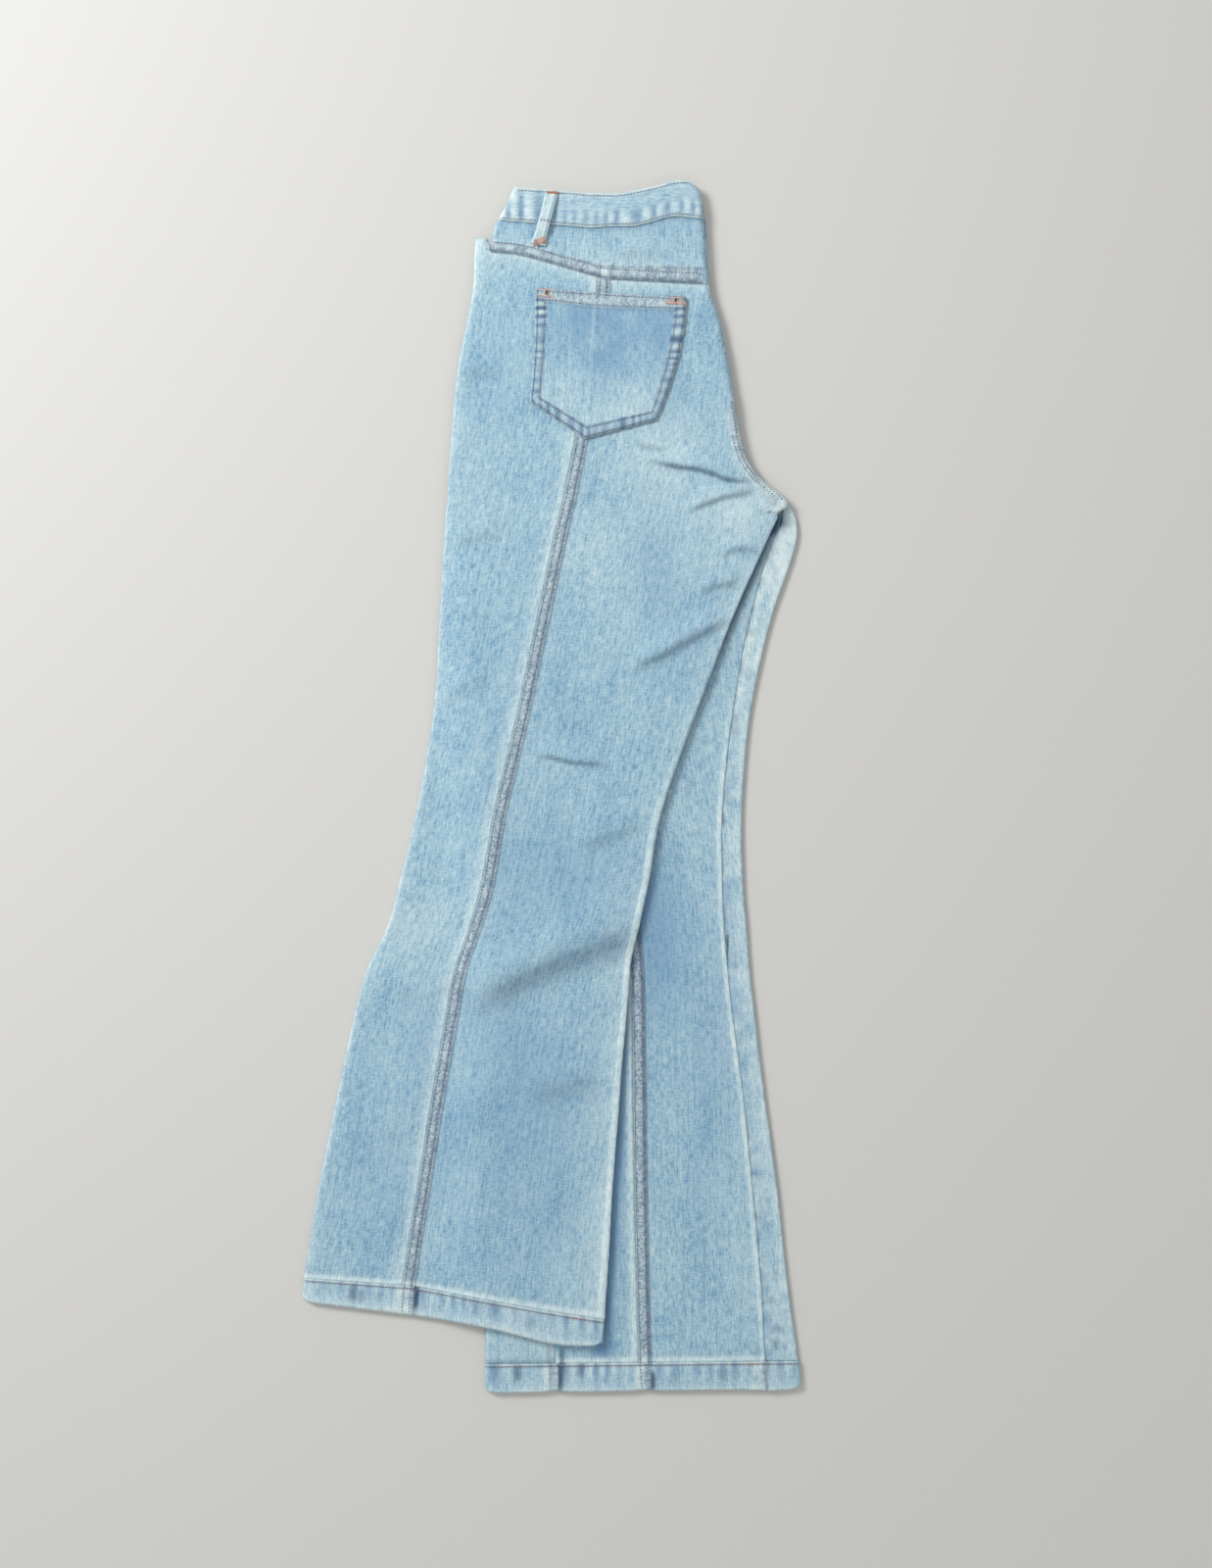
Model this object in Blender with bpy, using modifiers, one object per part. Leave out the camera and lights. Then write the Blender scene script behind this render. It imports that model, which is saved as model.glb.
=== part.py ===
"""Bootcut jeans in light washed denim, laid flat and folded lengthwise with their backs outside.

Four layers of cloth lie on each other in the trunk: left back on the floor, left front, right front
and right back. Below the crotch each leg is a tube of its own, and the right leg swings out to lie
partly on the left one. Every panel is a wall made from sections across the garment.
"""

import math

import bmesh
import bpy
import numpy as np

MM = 0.001  # lengths below are in millimetres, and become metres when a point is made

# Cloth and how it is stacked
WALL = 1.2
SEAM_GAP = 0.34
LAYER_RISE = 2.9
DROP = 56.0
SIDE_REACH = 1.8
FOLD_REACH = 5.0
FRONT_INSET = 13.0
FRONT_DIP = 28.0
DIP_START = -30.0
DIP_RUN = 165.0
FRONT_CLEAR = 0.9
SEAM_BAND = 11.0
RIDGE = 5.0
RIDGE_SPREAD = 1.3
SEAM_RISE = 0.5
BEVEL_RUN = 1.6

# Waistband, hems and what is sewn on
BAND_WALL = 2.4
BAND_RISE = 3.0
BAND_GAP = 0.7
LOWER_INSET = 7.0
HEM_WALL = 2.0
HEM_RISE = 3.3
HEM_COLUMNS = 10
HEM_BOW_X = 5.0
HEM_BOW_RUN = 48.0
YOKE_STEP = 12.0
POCKET_LIFT = 0.3
LOOP_WIDTH = 9.5
LOOP_WALL = 1.6
LOOP_SLACK = 1.2
RIVET_RADIUS = 3.2
RIVET_HEIGHT = 1.3

# Middle of the laid garment, in the two tables' own measures
CENTRE_X = -0.7
CENTRE_DOWN = 558.5

LEFT_BACK, LEFT_FRONT, RIGHT_FRONT, RIGHT_BACK = range(4)

# Both tables run down the garment. x is across from its middle and down is from the top of the waist.
# steps is how many rows of faces follow a section.
RIGHT_COLUMNS = ("place", "steps", "side_x", "side_down", "seam_x", "seam_down", "inner_x",
                 "inner_down", "wrap", "front", "bow")
RIGHT_ROWS = (
    ("waist", 2, -37, 8, 33, 12, 135, 2, 12, 92, 0),
    ("band seam", 2, -51, 40, 37, 44, 140, 36, 12, 96, 0),
    ("yoke seam", 1, -69, 57, 48, 92, 144, 96, 20, 101, 0),
    ("pocket top", 2, -73, 104, 43, 128, 154, 131, 16, 106, 0),
    ("hip", 2, -86, 175, 36, 184, 164, 184, 12, 112, 0),
    ("seat", 2, -92, 236, 27, 242, 174, 244, 12, 113, 0),
    ("fork above", 3, -95, 268, 21, 271, 188, 271, 12, 119, 0),
    ("crotch", 2, -96, 292, 17, 292, 215, 296, 12, 135, 0),
    ("fork below", 3, -98, 311, 12, 311, 207, 315, 12, 124, 0),
    ("thigh top", 5, -100, 344, 5, 344, 191, 344, 14, 112, 0),
    ("thigh", 3, -104, 410, -9, 410, 162, 410, 17, 97, 0),
    ("thigh low", 4, -110, 496, -27, 496, 129, 496, 22, 86, 0),
    ("knee", 2, -125, 581, -47, 581, 99, 581, 30, 77, 0),
    ("knee low", 3, -140, 644, -58, 644, 88, 643, 34, 76, 0),
    ("shin", 4, -151, 684, -69, 684, 80, 679, 38, 78, 0),
    ("break", 2, -170, 725, -83, 725, 72, 718, 41, 81, 0),
    ("calf", 2, -180, 760, -90, 760, 69, 754, 44, 83, 0),
    ("calf low", 2, -196, 835, -103, 835, 62, 832, 50, 90, 0),
    ("flare", 2, -214, 923, -117, 923, 55, 925, 58, 101, 0),
    ("hem seam", 2, -228, 1010, -132, 1017, 47, 1046, 63, 110, 1),
    ("hem edge", 0, -229, 1031, -134, 1043, 45, 1066, 63, 110, 8),
)
LEFT_COLUMNS = ("place", "steps", "side_x", "side_down", "outseam", "front", "inseam", "inner_x",
                "inner_down", "back")
LEFT_ROWS = (
    ("waist", 2, -31, 10, -22, 43, 122, 135, 2, 33),
    ("band seam", 2, -44, 42, -35, 40, 127, 140, 36, 37),
    ("yoke seam", 1, -62, 63, -42, 33, 130, 144, 96, 48),
    ("pocket top", 1, -67, 108, -52, 29, 139, 154, 131, 43),
    ("hip", 1, -77, 176, -67, 22, 149, 164, 184, 36),
    ("seat", 1, -83, 238, -73, 18, 161, 174, 244, 29),
    ("fork above", 2, -84, 268, -74, 16, 177, 188, 271, 27),
    ("crotch", 2, -83, 292, -73, 17, 206, 217, 296, 33),
    ("fork below", 2, -79, 311, -69, 19, 209, 225, 317, 42),
    ("thigh top", 2, -72, 344, -61, 25, 198, 221, 344, 53),
    ("thigh", 2, -69, 410, -54, 33, 179, 199, 410, 49),
    ("thigh low", 2, -67, 496, -45, 44, 162, 181, 496, 39),
    ("knee", 1, -56, 581, -30, 60, 153, 174, 581, 32),
    ("knee low", 1, -54, 644, -22, 70, 153, 175, 644, 28),
    ("shin", 1, -54, 684, -18, 75, 155, 178, 684, 23),
    ("break", 1, -54, 725, -15, 79, 159, 181, 725, 17),
    ("calf", 2, -55, 760, -13, 80, 163, 185, 760, 15),
    ("calf low", 2, -58, 835, -8, 81, 174, 194, 835, 20),
    ("flare", 2, -61, 923, -4, 82, 184, 206, 923, 33),
    ("above hem", 1, -61, 1013, 0, 84, 192, 216, 1013, 45),
    ("hem seam", 2, -61, 1089, 3, 86, 196, 226, 1086, 55),
    ("hem edge", 0, -61, 1115, 2, 88, 198, 228, 1111, 56),
)

# The largest folds of the right back: a ridge from start to end, its half width and its height
FOLD_COLUMNS = ("start_x", "start_down", "end_x", "end_down", "half_width", "height")
FOLD_FADE = 24.0
FOLD_ROWS = (
    (95, 259, 180, 277, 9, 1.5),
    (129, 302, 186, 282, 8, 1.2),
    (70, 445, 164, 400, 11, 1.6),
    (-13, 526, 49, 537, 9, 0.9),
    (-166, 724, 20, 700, 14, 2.2),
    (20, 700, 74, 674, 12, 1.5),
    (-86, 178, -40, 170, 10, 0.9),
)

# Pocket patch: its top corners, its side corners and the point between them
POCKET_TOP = ((-13, 98), (122, 109))
POCKET_FOOT = ((-21, 201), (29, 238), (96, 218))
POCKET_COLUMNS = 7
POCKET_POINT_COLUMN = 3
POCKET_STEPS = 6
RIVETS = (("rivet_side", -5, 104), ("rivet_centre", 114, 114))
LOOP_TOP = (1, 12)
LOOP_FOOT = (-13, 57)
LOOP_SHARES = (0, 0.12, 0.3, 0.5, 0.64, 0.74, 0.84, 1)

LIGHT_DENIM = (0.40, 0.55, 0.64)
PALE_DENIM = (0.50, 0.64, 0.72)
WORN_COPPER = (0.28, 0.14, 0.08)

TURN = (90, 45, 0, -45, -90)
QUARTER = (90, 67.5, 45, 22.5, 0)


def columns(names, rows):
    """One array for each named column, without the first."""
    return {name: np.array([row[i] for row in rows], float) for i, name in enumerate(names) if i}


def places(rows):
    return {row[0]: i for i, row in enumerate(rows)}


FOLDS = [dict(zip(FOLD_COLUMNS, row)) for row in FOLD_ROWS]
RIGHT, RIGHT_AT = columns(RIGHT_COLUMNS, RIGHT_ROWS), places(RIGHT_ROWS)
LEFT, LEFT_AT = columns(LEFT_COLUMNS, LEFT_ROWS), places(LEFT_ROWS)


def eased(share):
    share = min(max(share, 0.0), 1.0)
    return share * share * (3 - 2 * share)


def mix(start, end, share):
    return start + (end - start) * share


def between(values, v):
    """A column read between its rows, on a smooth curve through them."""
    i = min(int(v), len(values) - 2)
    t = v - i
    start, end = values[i], values[i + 1]
    leaving = (end - values[max(i - 1, 0)]) / 2
    arriving = (values[min(i + 2, len(values) - 1)] - start) / 2
    rest = 1 - t
    return (start * (1 + 2 * t) * rest ** 2 + leaving * t * rest ** 2
            + end * t * t * (3 - 2 * t) - arriving * t * t * rest)


def rows_between(table, first, last):
    """Where the rows of a panel lie, as places in its table."""
    rows = []
    for i in range(first, last):
        count = int(table["steps"][i])
        rows += [i + k / count for k in range(count)]
    return rows + [last]


def section(table, v):
    """Every column of a table at one place, with the share by which the legs have parted there."""
    here = {name: between(values, v) for name, values in table.items()}
    here["parted"] = eased((v - RIGHT_AT["fork above"]) / 2)
    trunk = here if table is RIGHT else section(RIGHT, v) if here["parted"] < 1 else None
    if trunk:
        here["line"] = ((trunk["side_x"], trunk["seam_x"], trunk["inner_x"]),
                        (trunk["side_down"], trunk["seam_down"], trunk["inner_down"]))
    here["leg line"] = ((here["side_x"], here["inner_x"]), (here["side_down"], here["inner_down"]))
    here["own line"] = 0.0 if table is RIGHT else here["parted"]
    here.setdefault("bow", 0.0)
    here["yoke side"] = here["side_x"] + YOKE_STEP * eased(v - RIGHT_AT["band seam"])
    return here


def down_at(here, x):
    """Where a section passes x. In the trunk both tables' sections follow the right back's line."""
    down = float(np.interp(x, *here["leg line"]))
    if here["own line"] < 1:
        down = mix(float(np.interp(x, *here["line"])), down, here["own line"])
    return down + here["bow"] * math.exp(-((x - HEM_BOW_X) / HEM_BOW_RUN) ** 2)


def front_dip(x, v):
    """How much lower the fronts' waist lies than the back's, fading out over the hips."""
    return FRONT_DIP * min(max((x - DIP_START) / DIP_RUN, 0.0), 1.0) * (1 - eased((v - 1) / 4))


def front_top(x, v):
    """The dip, and a little room below the waistband's own dip."""
    return front_dip(x, v) + FRONT_CLEAR * (1 - eased(v - 1))


LEFT_SIDE = [section(LEFT, v / 2) for v in range(2 * len(LEFT_ROWS) - 1)]


def left_side(down):
    """x of the left leg's side fold, which the right leg comes down beside."""
    return float(np.interp(down, [here["side_down"] for here in LEFT_SIDE],
                           [here["side_x"] for here in LEFT_SIDE]))


def folds(x, down):
    """Height of the largest folds at a point of the right back."""
    height = 0.0
    for fold in FOLDS:
        run_x, run_down = fold["end_x"] - fold["start_x"], fold["end_down"] - fold["start_down"]
        off_x, off_down = x - fold["start_x"], down - fold["start_down"]
        length = math.hypot(run_x, run_down)
        along = (off_x * run_x + off_down * run_down) / length
        away = (off_x * run_down - off_down * run_x) / length
        start = eased((along + FOLD_FADE / 3) / FOLD_FADE)
        end = eased((length - along + FOLD_FADE / 3) / FOLD_FADE)
        height += fold["height"] * start * end * math.exp(-(away / fold["half_width"]) ** 2)
    return height


def level(layer, x, down):
    """Height of the middle of a layer. The right leg comes down to the floor beside the left one."""
    if layer in (LEFT_BACK, LEFT_FRONT):
        return WALL / 2 + LAYER_RISE * layer
    over = eased((x - left_side(down) + DROP) / DROP)
    return WALL / 2 + LAYER_RISE * (layer - 2 + 2 * over)


def surface(here, layer, x, rise=0.0):
    down = down_at(here, x)
    height = level(layer, x, down) + rise
    if layer == RIGHT_BACK:
        height += folds(x, down)
    return x, height


def run(here, layer, start, end, count):
    """Evenly spaced points of a layer from start towards end, which is left for the next stretch."""
    return [surface(here, layer, mix(start, end, k / count)) for k in range(count)]


def turn(edge_x, inward, reach, top, bottom, angles=TURN):
    """Round a folded edge: 90 degrees is on the top layer, 0 at the edge, -90 on the bottom one."""
    middle, half = (top + bottom) / 2, (top - bottom) / 2
    return [(edge_x + inward * reach * (1 - math.cos(math.radians(angle))),
             middle + half * math.sin(math.radians(angle))) for angle in angles]


def side_turn(here, upper, lower, side="side_x"):
    """Round the side fold of a leg, from its upper layer to its lower one."""
    inside = here[side] + SIDE_REACH
    return turn(here[side], 1, SIDE_REACH, surface(here, upper, inside)[1],
                surface(here, lower, inside)[1])


def end_turn(edge_x, reach, height, end, angles=QUARTER):
    """From a layer to a seam on the garment's inner edge."""
    return [(edge_x - reach * (1 - math.cos(math.radians(angle))),
             end + (height - end) * math.sin(math.radians(angle))) for angle in angles]


def heights(here):
    """Middle heights of the four layers at the inner edge, and of the seams that join them."""
    down = here["inner_down"]
    layers = [level(layer, here["inner_x"], down) for layer in range(4)]
    centre_back = (layers[RIGHT_BACK] + layers[LEFT_BACK]) / 2
    centre_front = (layers[RIGHT_FRONT] + layers[LEFT_FRONT]) / 2
    inseam = (layers[RIGHT_BACK] + layers[RIGHT_FRONT]) / 2
    return layers, centre_back, centre_front, inseam


def right_edge(here):
    """The double-stitched edge of the right back: its band's width and the reach of its turn."""
    band = mix(SEAM_BAND, RIDGE, here["parted"])
    return band, mix(FOLD_REACH, SIDE_REACH, here["parted"])


def back_outer_right(here):
    start = here["seam_x"]
    points = run(here, RIGHT_BACK, start, here["side_x"] + SIDE_REACH, 5)
    points += side_turn(here, RIGHT_BACK, RIGHT_FRONT)
    return points + [surface(here, RIGHT_FRONT, here["side_x"] + here["wrap"])]


def inner_end(here):
    """Right back from its edge band to the centre back seam, or to the inseam below the crotch."""
    band, reach = right_edge(here)
    _, centre_back, _, inseam = heights(here)
    end = mix(centre_back, inseam, here["parted"])
    points = [surface(here, RIGHT_BACK, here["inner_x"] - band, SEAM_RISE)]
    top = surface(here, RIGHT_BACK, here["inner_x"] - reach, SEAM_RISE)[1]
    return points + end_turn(here["inner_x"], reach, top, end)


def back_inner_right(here):
    start, band = here["seam_x"], right_edge(here)[0]
    points = [surface(here, RIGHT_BACK, start, SEAM_RISE)]
    points += [surface(here, RIGHT_BACK, start + SEAM_BAND, SEAM_RISE)]
    points += run(here, RIGHT_BACK, start + SEAM_BAND + BEVEL_RUN,
                  here["inner_x"] - band - BEVEL_RUN, 6)
    points += [surface(here, RIGHT_BACK, here["inner_x"] - band - BEVEL_RUN)]
    return points + inner_end(here)


def front_outer_right(here):
    points = run(here, RIGHT_FRONT, here["side_x"] + here["wrap"], here["inner_x"] - here["front"], 4)
    return points + [surface(here, RIGHT_FRONT, here["inner_x"] - here["front"])]


def front_inner_right(here):
    layers, _, centre_front, inseam = heights(here)
    edge = here["inner_x"] - FRONT_INSET * (1 - here["parted"])
    end = mix(centre_front, inseam, here["parted"])
    points = run(here, RIGHT_FRONT, here["inner_x"] - here["front"], edge - SIDE_REACH, 3)
    return points + end_turn(edge, SIDE_REACH, layers[RIGHT_FRONT], end)


def yoke_right(here):
    points = [surface(here, RIGHT_FRONT, here["side_x"] + here["wrap"])]
    points += side_turn(here, RIGHT_BACK, RIGHT_FRONT, "yoke side")[::-1]
    band = right_edge(here)[0]
    inside = here["yoke side"] + SIDE_REACH
    points += run(here, RIGHT_BACK, inside, here["seam_x"], 4)[1:]
    points += run(here, RIGHT_BACK, here["seam_x"], here["inner_x"] - band - BEVEL_RUN, 3)
    points += [surface(here, RIGHT_BACK, here["inner_x"] - band - BEVEL_RUN)]
    return points + inner_end(here)


def back_outer_left(here):
    points = [surface(here, LEFT_FRONT, here["outseam"])]
    points += side_turn(here, LEFT_FRONT, LEFT_BACK)
    points += run(here, LEFT_BACK, here["side_x"] + SIDE_REACH, here["back"], 3)[1:]
    return points + [surface(here, LEFT_BACK, here["back"])]


def left_end(here):
    """Left back round the inner edge: to the centre back seam, or over the top to the inseam."""
    layers, centre_back, _, _ = heights(here)
    angles = np.linspace(90, 0, 9)
    trunk = end_turn(here["inner_x"], FOLD_REACH, layers[LEFT_BACK], centre_back, angles)
    leg = turn(here["inner_x"], -1, SIDE_REACH, layers[LEFT_FRONT], layers[LEFT_BACK], TURN[::-1])
    leg.insert(0, (here["inner_x"] - FOLD_REACH, layers[LEFT_BACK]))
    ridge = min(RIDGE, 0.5 * (here["inner_x"] - SIDE_REACH - here["inseam"]))
    leg += [(here["inseam"] + ridge * RIDGE_SPREAD, layers[LEFT_FRONT]),
            (here["inseam"] + ridge, layers[LEFT_FRONT] + SEAM_RISE),
            (here["inseam"], layers[LEFT_FRONT] + SEAM_RISE)]
    share = here["parted"]
    return [(mix(a[0], b[0], share), mix(a[1], b[1], share)) for a, b in zip(trunk, leg)]


def back_inner_left(here):
    points = run(here, LEFT_BACK, here["back"], here["inner_x"] - FOLD_REACH, 3)
    return points + left_end(here)


def yoke_left(here):
    points = [surface(here, LEFT_FRONT, here["outseam"])]
    points += side_turn(here, LEFT_FRONT, LEFT_BACK, "yoke side")
    inside = here["yoke side"] + SIDE_REACH
    points += run(here, LEFT_BACK, inside, here["back"], 2)[1:]
    points += run(here, LEFT_BACK, here["back"], here["inner_x"] - FOLD_REACH, 2)
    return points + left_end(here)


def front_outer_left(here):
    points = run(here, LEFT_FRONT, here["outseam"], here["front"], 3)
    return points + [surface(here, LEFT_FRONT, here["front"])]


def front_inner_left(here):
    layers, _, centre_front, _ = heights(here)
    start, share = here["front"], here["parted"]
    edge = here["inner_x"] - FRONT_INSET
    points = [surface(here, LEFT_FRONT, start, SEAM_RISE)]
    points += [surface(here, LEFT_FRONT, start + SEAM_BAND, SEAM_RISE)]
    end = mix(edge - SIDE_REACH, here["inseam"] - FOLD_REACH, share)
    points += run(here, LEFT_FRONT, start + SEAM_BAND + BEVEL_RUN, end, 3)
    trunk = end_turn(edge, SIDE_REACH, layers[LEFT_FRONT], centre_front)
    for k, (x, height) in enumerate(trunk):
        flat = here["inseam"] - FOLD_REACH * (1 - k / (len(trunk) - 1))
        points.append((mix(x, flat, share), mix(height, layers[LEFT_FRONT], share)))
    return points


def hem_right(here):
    return ring(here, RIGHT_BACK, RIGHT_FRONT)


def hem_left(here):
    return ring(here, LEFT_FRONT, LEFT_BACK)


def ring(here, upper, lower):
    """The turned-up hem all round a leg, closed on itself."""
    side, inner = here["side_x"] + SIDE_REACH, here["inner_x"] - SIDE_REACH
    low = (HEM_WALL - WALL) / 2
    high = low + HEM_RISE - LAYER_RISE
    top = [(x, z + high) for x, z in run(here, upper, side, inner, HEM_COLUMNS)]
    bottom = [(x, z + low) for x, z in run(here, lower, inner, side, HEM_COLUMNS)]
    inner_turn = turn(here["inner_x"], -1, SIDE_REACH, bottom[0][1] + HEM_RISE, bottom[0][1])
    side_fold = turn(here["side_x"], 1, SIDE_REACH, top[0][1], top[0][1] - HEM_RISE)
    return top + inner_turn[:-1] + bottom + side_fold[::-1]


def band_height(index):
    return BAND_WALL / 2 + BAND_RISE * index


def waistband(here):
    """From the centre front round the right side, the centre back and the left side to the front again."""
    front = here["inner_x"] - FRONT_INSET
    side, lower_side = here["side_x"], here["side_x"] + LOWER_INSET
    top, low = band_height(RIGHT_BACK), band_height(LEFT_BACK)
    fold = here["inner_x"] - FOLD_REACH

    def stretch(start, end, height, count):
        return [(mix(start, end, k / count), height) for k in range(count)]

    middle = here["seam_x"]
    points = stretch(front, middle, band_height(RIGHT_FRONT), 2)
    points += stretch(middle, DIP_START, band_height(RIGHT_FRONT), 2)
    points += [(DIP_START, band_height(RIGHT_FRONT))]
    points += turn(side, 1, SIDE_REACH, top, band_height(RIGHT_FRONT))[::-1][:-1]
    points += stretch(side + SIDE_REACH, middle, top, 4)
    points += stretch(middle, fold, top, 4)
    points += turn(here["inner_x"], -1, FOLD_REACH, top, low, (90, 60, 30, 0, -30, -60))
    points += stretch(fold, middle, low, 2)
    points += stretch(middle, lower_side + SIDE_REACH, low, 3)
    points += turn(lower_side, 1, SIDE_REACH, band_height(LEFT_FRONT), low)[::-1][:-1]
    points += stretch(lower_side + SIDE_REACH, DIP_START, band_height(LEFT_FRONT), 1)
    points += stretch(DIP_START, middle, band_height(LEFT_FRONT), 2)
    points += stretch(middle, front, band_height(LEFT_FRONT), 2)
    return points + [(front, band_height(LEFT_FRONT))]


# Objects


def place(x, down, height):
    return ((x - CENTRE_X) * MM, (CENTRE_DOWN - down) * MM, height * MM)


def denim(name, colour, roughness=0.9, metallic=0.0):
    """A material of the part's own, with a flat colour."""
    material = bpy.data.materials.new(name)
    material.use_nodes = True
    shader = material.node_tree.nodes["Principled BSDF"]
    shader.inputs["Base Color"].default_value = (*colour, 1.0)
    shader.inputs["Roughness"].default_value = roughness
    shader.inputs["Metallic"].default_value = metallic
    return material


def sheet(rows, closed=False, gap=SEAM_GAP):
    """A grid of faces through rows of points, drawn in by half the gap at its open edges."""
    points = np.array(rows)
    if gap and not closed:
        points = drawn_in(points, gap / 2)
    if gap:
        points = np.swapaxes(drawn_in(np.swapaxes(points, 0, 1), gap / 2), 0, 1)
    down_count, across_count = points.shape[0] - 1, points.shape[1] - 1
    mesh = bmesh.new()
    bmesh.ops.create_grid(mesh, x_segments=across_count, y_segments=down_count, size=0.5)
    for vertex in mesh.verts:
        across = round((vertex.co.x + 0.5) * across_count)
        down = round((0.5 - vertex.co.y) * down_count)
        vertex.co = place(*points[down, across])
    if closed:
        bmesh.ops.remove_doubles(mesh, verts=mesh.verts, dist=0.00001)
    return mesh


def drawn_in(points, by):
    """The same points with the first and last of each row moved towards their neighbours."""
    moved = points.copy()
    for end, beside in ((0, 1), (-1, -2)):
        step = points[:, beside] - points[:, end]
        moved[:, end] += by * step / np.linalg.norm(step, axis=1, keepdims=True)
    return moved


def cloth(name, mesh, colour, wall=WALL):
    """An object for one piece of cloth: the open surface, thickened evenly to both sides."""
    data = bpy.data.meshes.new(name)
    mesh.to_mesh(data)
    mesh.free()
    data.materials.append(denim(name, colour))
    data.shade_smooth()
    piece = bpy.data.objects.new(name, data)
    thickness = piece.modifiers.new("cloth thickness", "SOLIDIFY")
    thickness.thickness = wall * MM
    thickness.offset = 0.0
    jeans.objects.link(piece)
    return piece


def panel(course, table, first, last, fronts=False, wall=WALL, closed=False, colour=LIGHT_DENIM):
    """A panel named after its course, through the sections from first to last."""
    rows = []
    for v in rows_between(table, first, last):
        here = section(table, v)
        rows.append([(x, down_at(here, x) + (front_top(x, v) if fronts else 0.0), height)
                     for x, height in course(here)])
    return cloth(course.__name__, sheet(rows, closed), colour, wall)


def band():
    """The waistband, whose front half dips towards the centre front."""
    rows = []
    for v in rows_between(RIGHT, RIGHT_AT["waist"], RIGHT_AT["band seam"]):
        here = section(RIGHT, v)
        fold = here["inner_x"] - FOLD_REACH
        row = []
        for x, height in waistband(here):
            front = band_height(LEFT_FRONT) <= height <= band_height(RIGHT_FRONT) and x < fold
            row.append((x, down_at(here, x) + (front_dip(x, 1) if front else 0.0), height))
        rows.append(row)
    return cloth("waistband", sheet(rows, gap=BAND_GAP), LIGHT_DENIM, BAND_WALL)


def back_top(x, down):
    """Top of the right back's cloth."""
    return level(RIGHT_BACK, x, down) + folds(x, down) + WALL / 2


def pocket_point(share, step):
    """A point of the pocket, by its share across and its step down."""
    middle = POCKET_POINT_COLUMN / POCKET_COLUMNS
    (top_a, top_b), (left, point, right) = POCKET_TOP, POCKET_FOOT
    if share <= middle:
        foot = [mix(left[i], point[i], share / middle) for i in (0, 1)]
    else:
        foot = [mix(point[i], right[i], (share - middle) / (1 - middle)) for i in (0, 1)]
    return tuple(mix(mix(top_a[i], top_b[i], share), foot[i], step) for i in (0, 1))


def pocket():
    rows = []
    lift = SEAM_RISE + POCKET_LIFT + WALL / 2
    for k in range(POCKET_STEPS + 1):
        row = []
        for i in range(POCKET_COLUMNS + 1):
            x, down = pocket_point(i / POCKET_COLUMNS, k / POCKET_STEPS)
            row.append((x, down, back_top(x, down) + lift))
        rows.append(row)
    return cloth("back_pocket", sheet(rows, gap=0), PALE_DENIM)


def belt_loop():
    """A strip tacked to the top of the waistband and, past its lower seam, to the yoke."""
    band_top = band_height(RIGHT_BACK) + (BAND_WALL + LOOP_WALL) / 2 + SEAM_GAP
    yoke_top = back_top(*LOOP_FOOT) + LOOP_WALL / 2 + SEAM_GAP
    length = math.hypot(LOOP_FOOT[0] - LOOP_TOP[0], LOOP_FOOT[1] - LOOP_TOP[1])
    across = ((LOOP_FOOT[1] - LOOP_TOP[1]) / length, (LOOP_TOP[0] - LOOP_FOOT[0]) / length)
    rows = []
    for share in LOOP_SHARES:
        height = mix(band_top, yoke_top, eased((share - 0.7) / 0.14))
        height += LOOP_SLACK * math.sin(math.pi * share)
        x, down = (mix(LOOP_TOP[i], LOOP_FOOT[i], share) for i in (0, 1))
        rows.append([(x + side * across[0] * LOOP_WIDTH / 2, down + side * across[1] * LOOP_WIDTH / 2,
                      height) for side in (-1, 0, 1)])
    return cloth("belt_loop", sheet(rows, gap=0), PALE_DENIM, LOOP_WALL)


def rivet(name, x, down):
    """A low round head on the pocket's corner."""
    bottom = back_top(x, down) + SEAM_RISE + POCKET_LIFT + WALL + SEAM_GAP
    bpy.ops.mesh.primitive_cylinder_add(
        vertices=20, radius=RIVET_RADIUS * MM, depth=RIVET_HEIGHT * MM,
        location=place(x, down, bottom + RIVET_HEIGHT / 2))
    head = bpy.context.object
    head.name = name
    head.data.name = name
    head.data.materials.append(denim(name, WORN_COPPER, 0.55, 0.9))
    edge = head.modifiers.new("worn edge", "BEVEL")
    edge.width = 0.4 * MM
    edge.segments = 2
    for collection in list(head.users_collection):
        collection.objects.unlink(head)
    jeans.objects.link(head)


for thing in list(bpy.data.objects):
    bpy.data.objects.remove(thing, do_unlink=True)
jeans = bpy.data.collections.new("bootcut jeans")
bpy.context.scene.collection.children.link(jeans)

yoke_at, hem_at, last_right = RIGHT_AT["yoke seam"], RIGHT_AT["hem seam"], RIGHT_AT["hem edge"]
band_at = RIGHT_AT["band seam"]
panel(back_outer_right, RIGHT, yoke_at, hem_at)
panel(back_inner_right, RIGHT, yoke_at, hem_at)
panel(front_outer_right, RIGHT, band_at, hem_at, fronts=True)
panel(front_inner_right, RIGHT, band_at, hem_at, fronts=True)
panel(yoke_right, RIGHT, band_at, yoke_at)
panel(hem_right, RIGHT, hem_at, last_right, wall=HEM_WALL, closed=True)

left_hem_at, last_left = LEFT_AT["hem seam"], LEFT_AT["hem edge"]
panel(front_outer_left, LEFT, band_at, left_hem_at, fronts=True)
panel(front_inner_left, LEFT, band_at, left_hem_at, fronts=True)
panel(back_outer_left, LEFT, yoke_at, left_hem_at)
panel(back_inner_left, LEFT, yoke_at, left_hem_at)
panel(yoke_left, LEFT, band_at, yoke_at)
panel(hem_left, LEFT, left_hem_at, last_left, wall=HEM_WALL, closed=True)

band()
pocket()
belt_loop()
for rivet_name, rivet_x, rivet_down in RIVETS:
    rivet(rivet_name, rivet_x, rivet_down)
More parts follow.
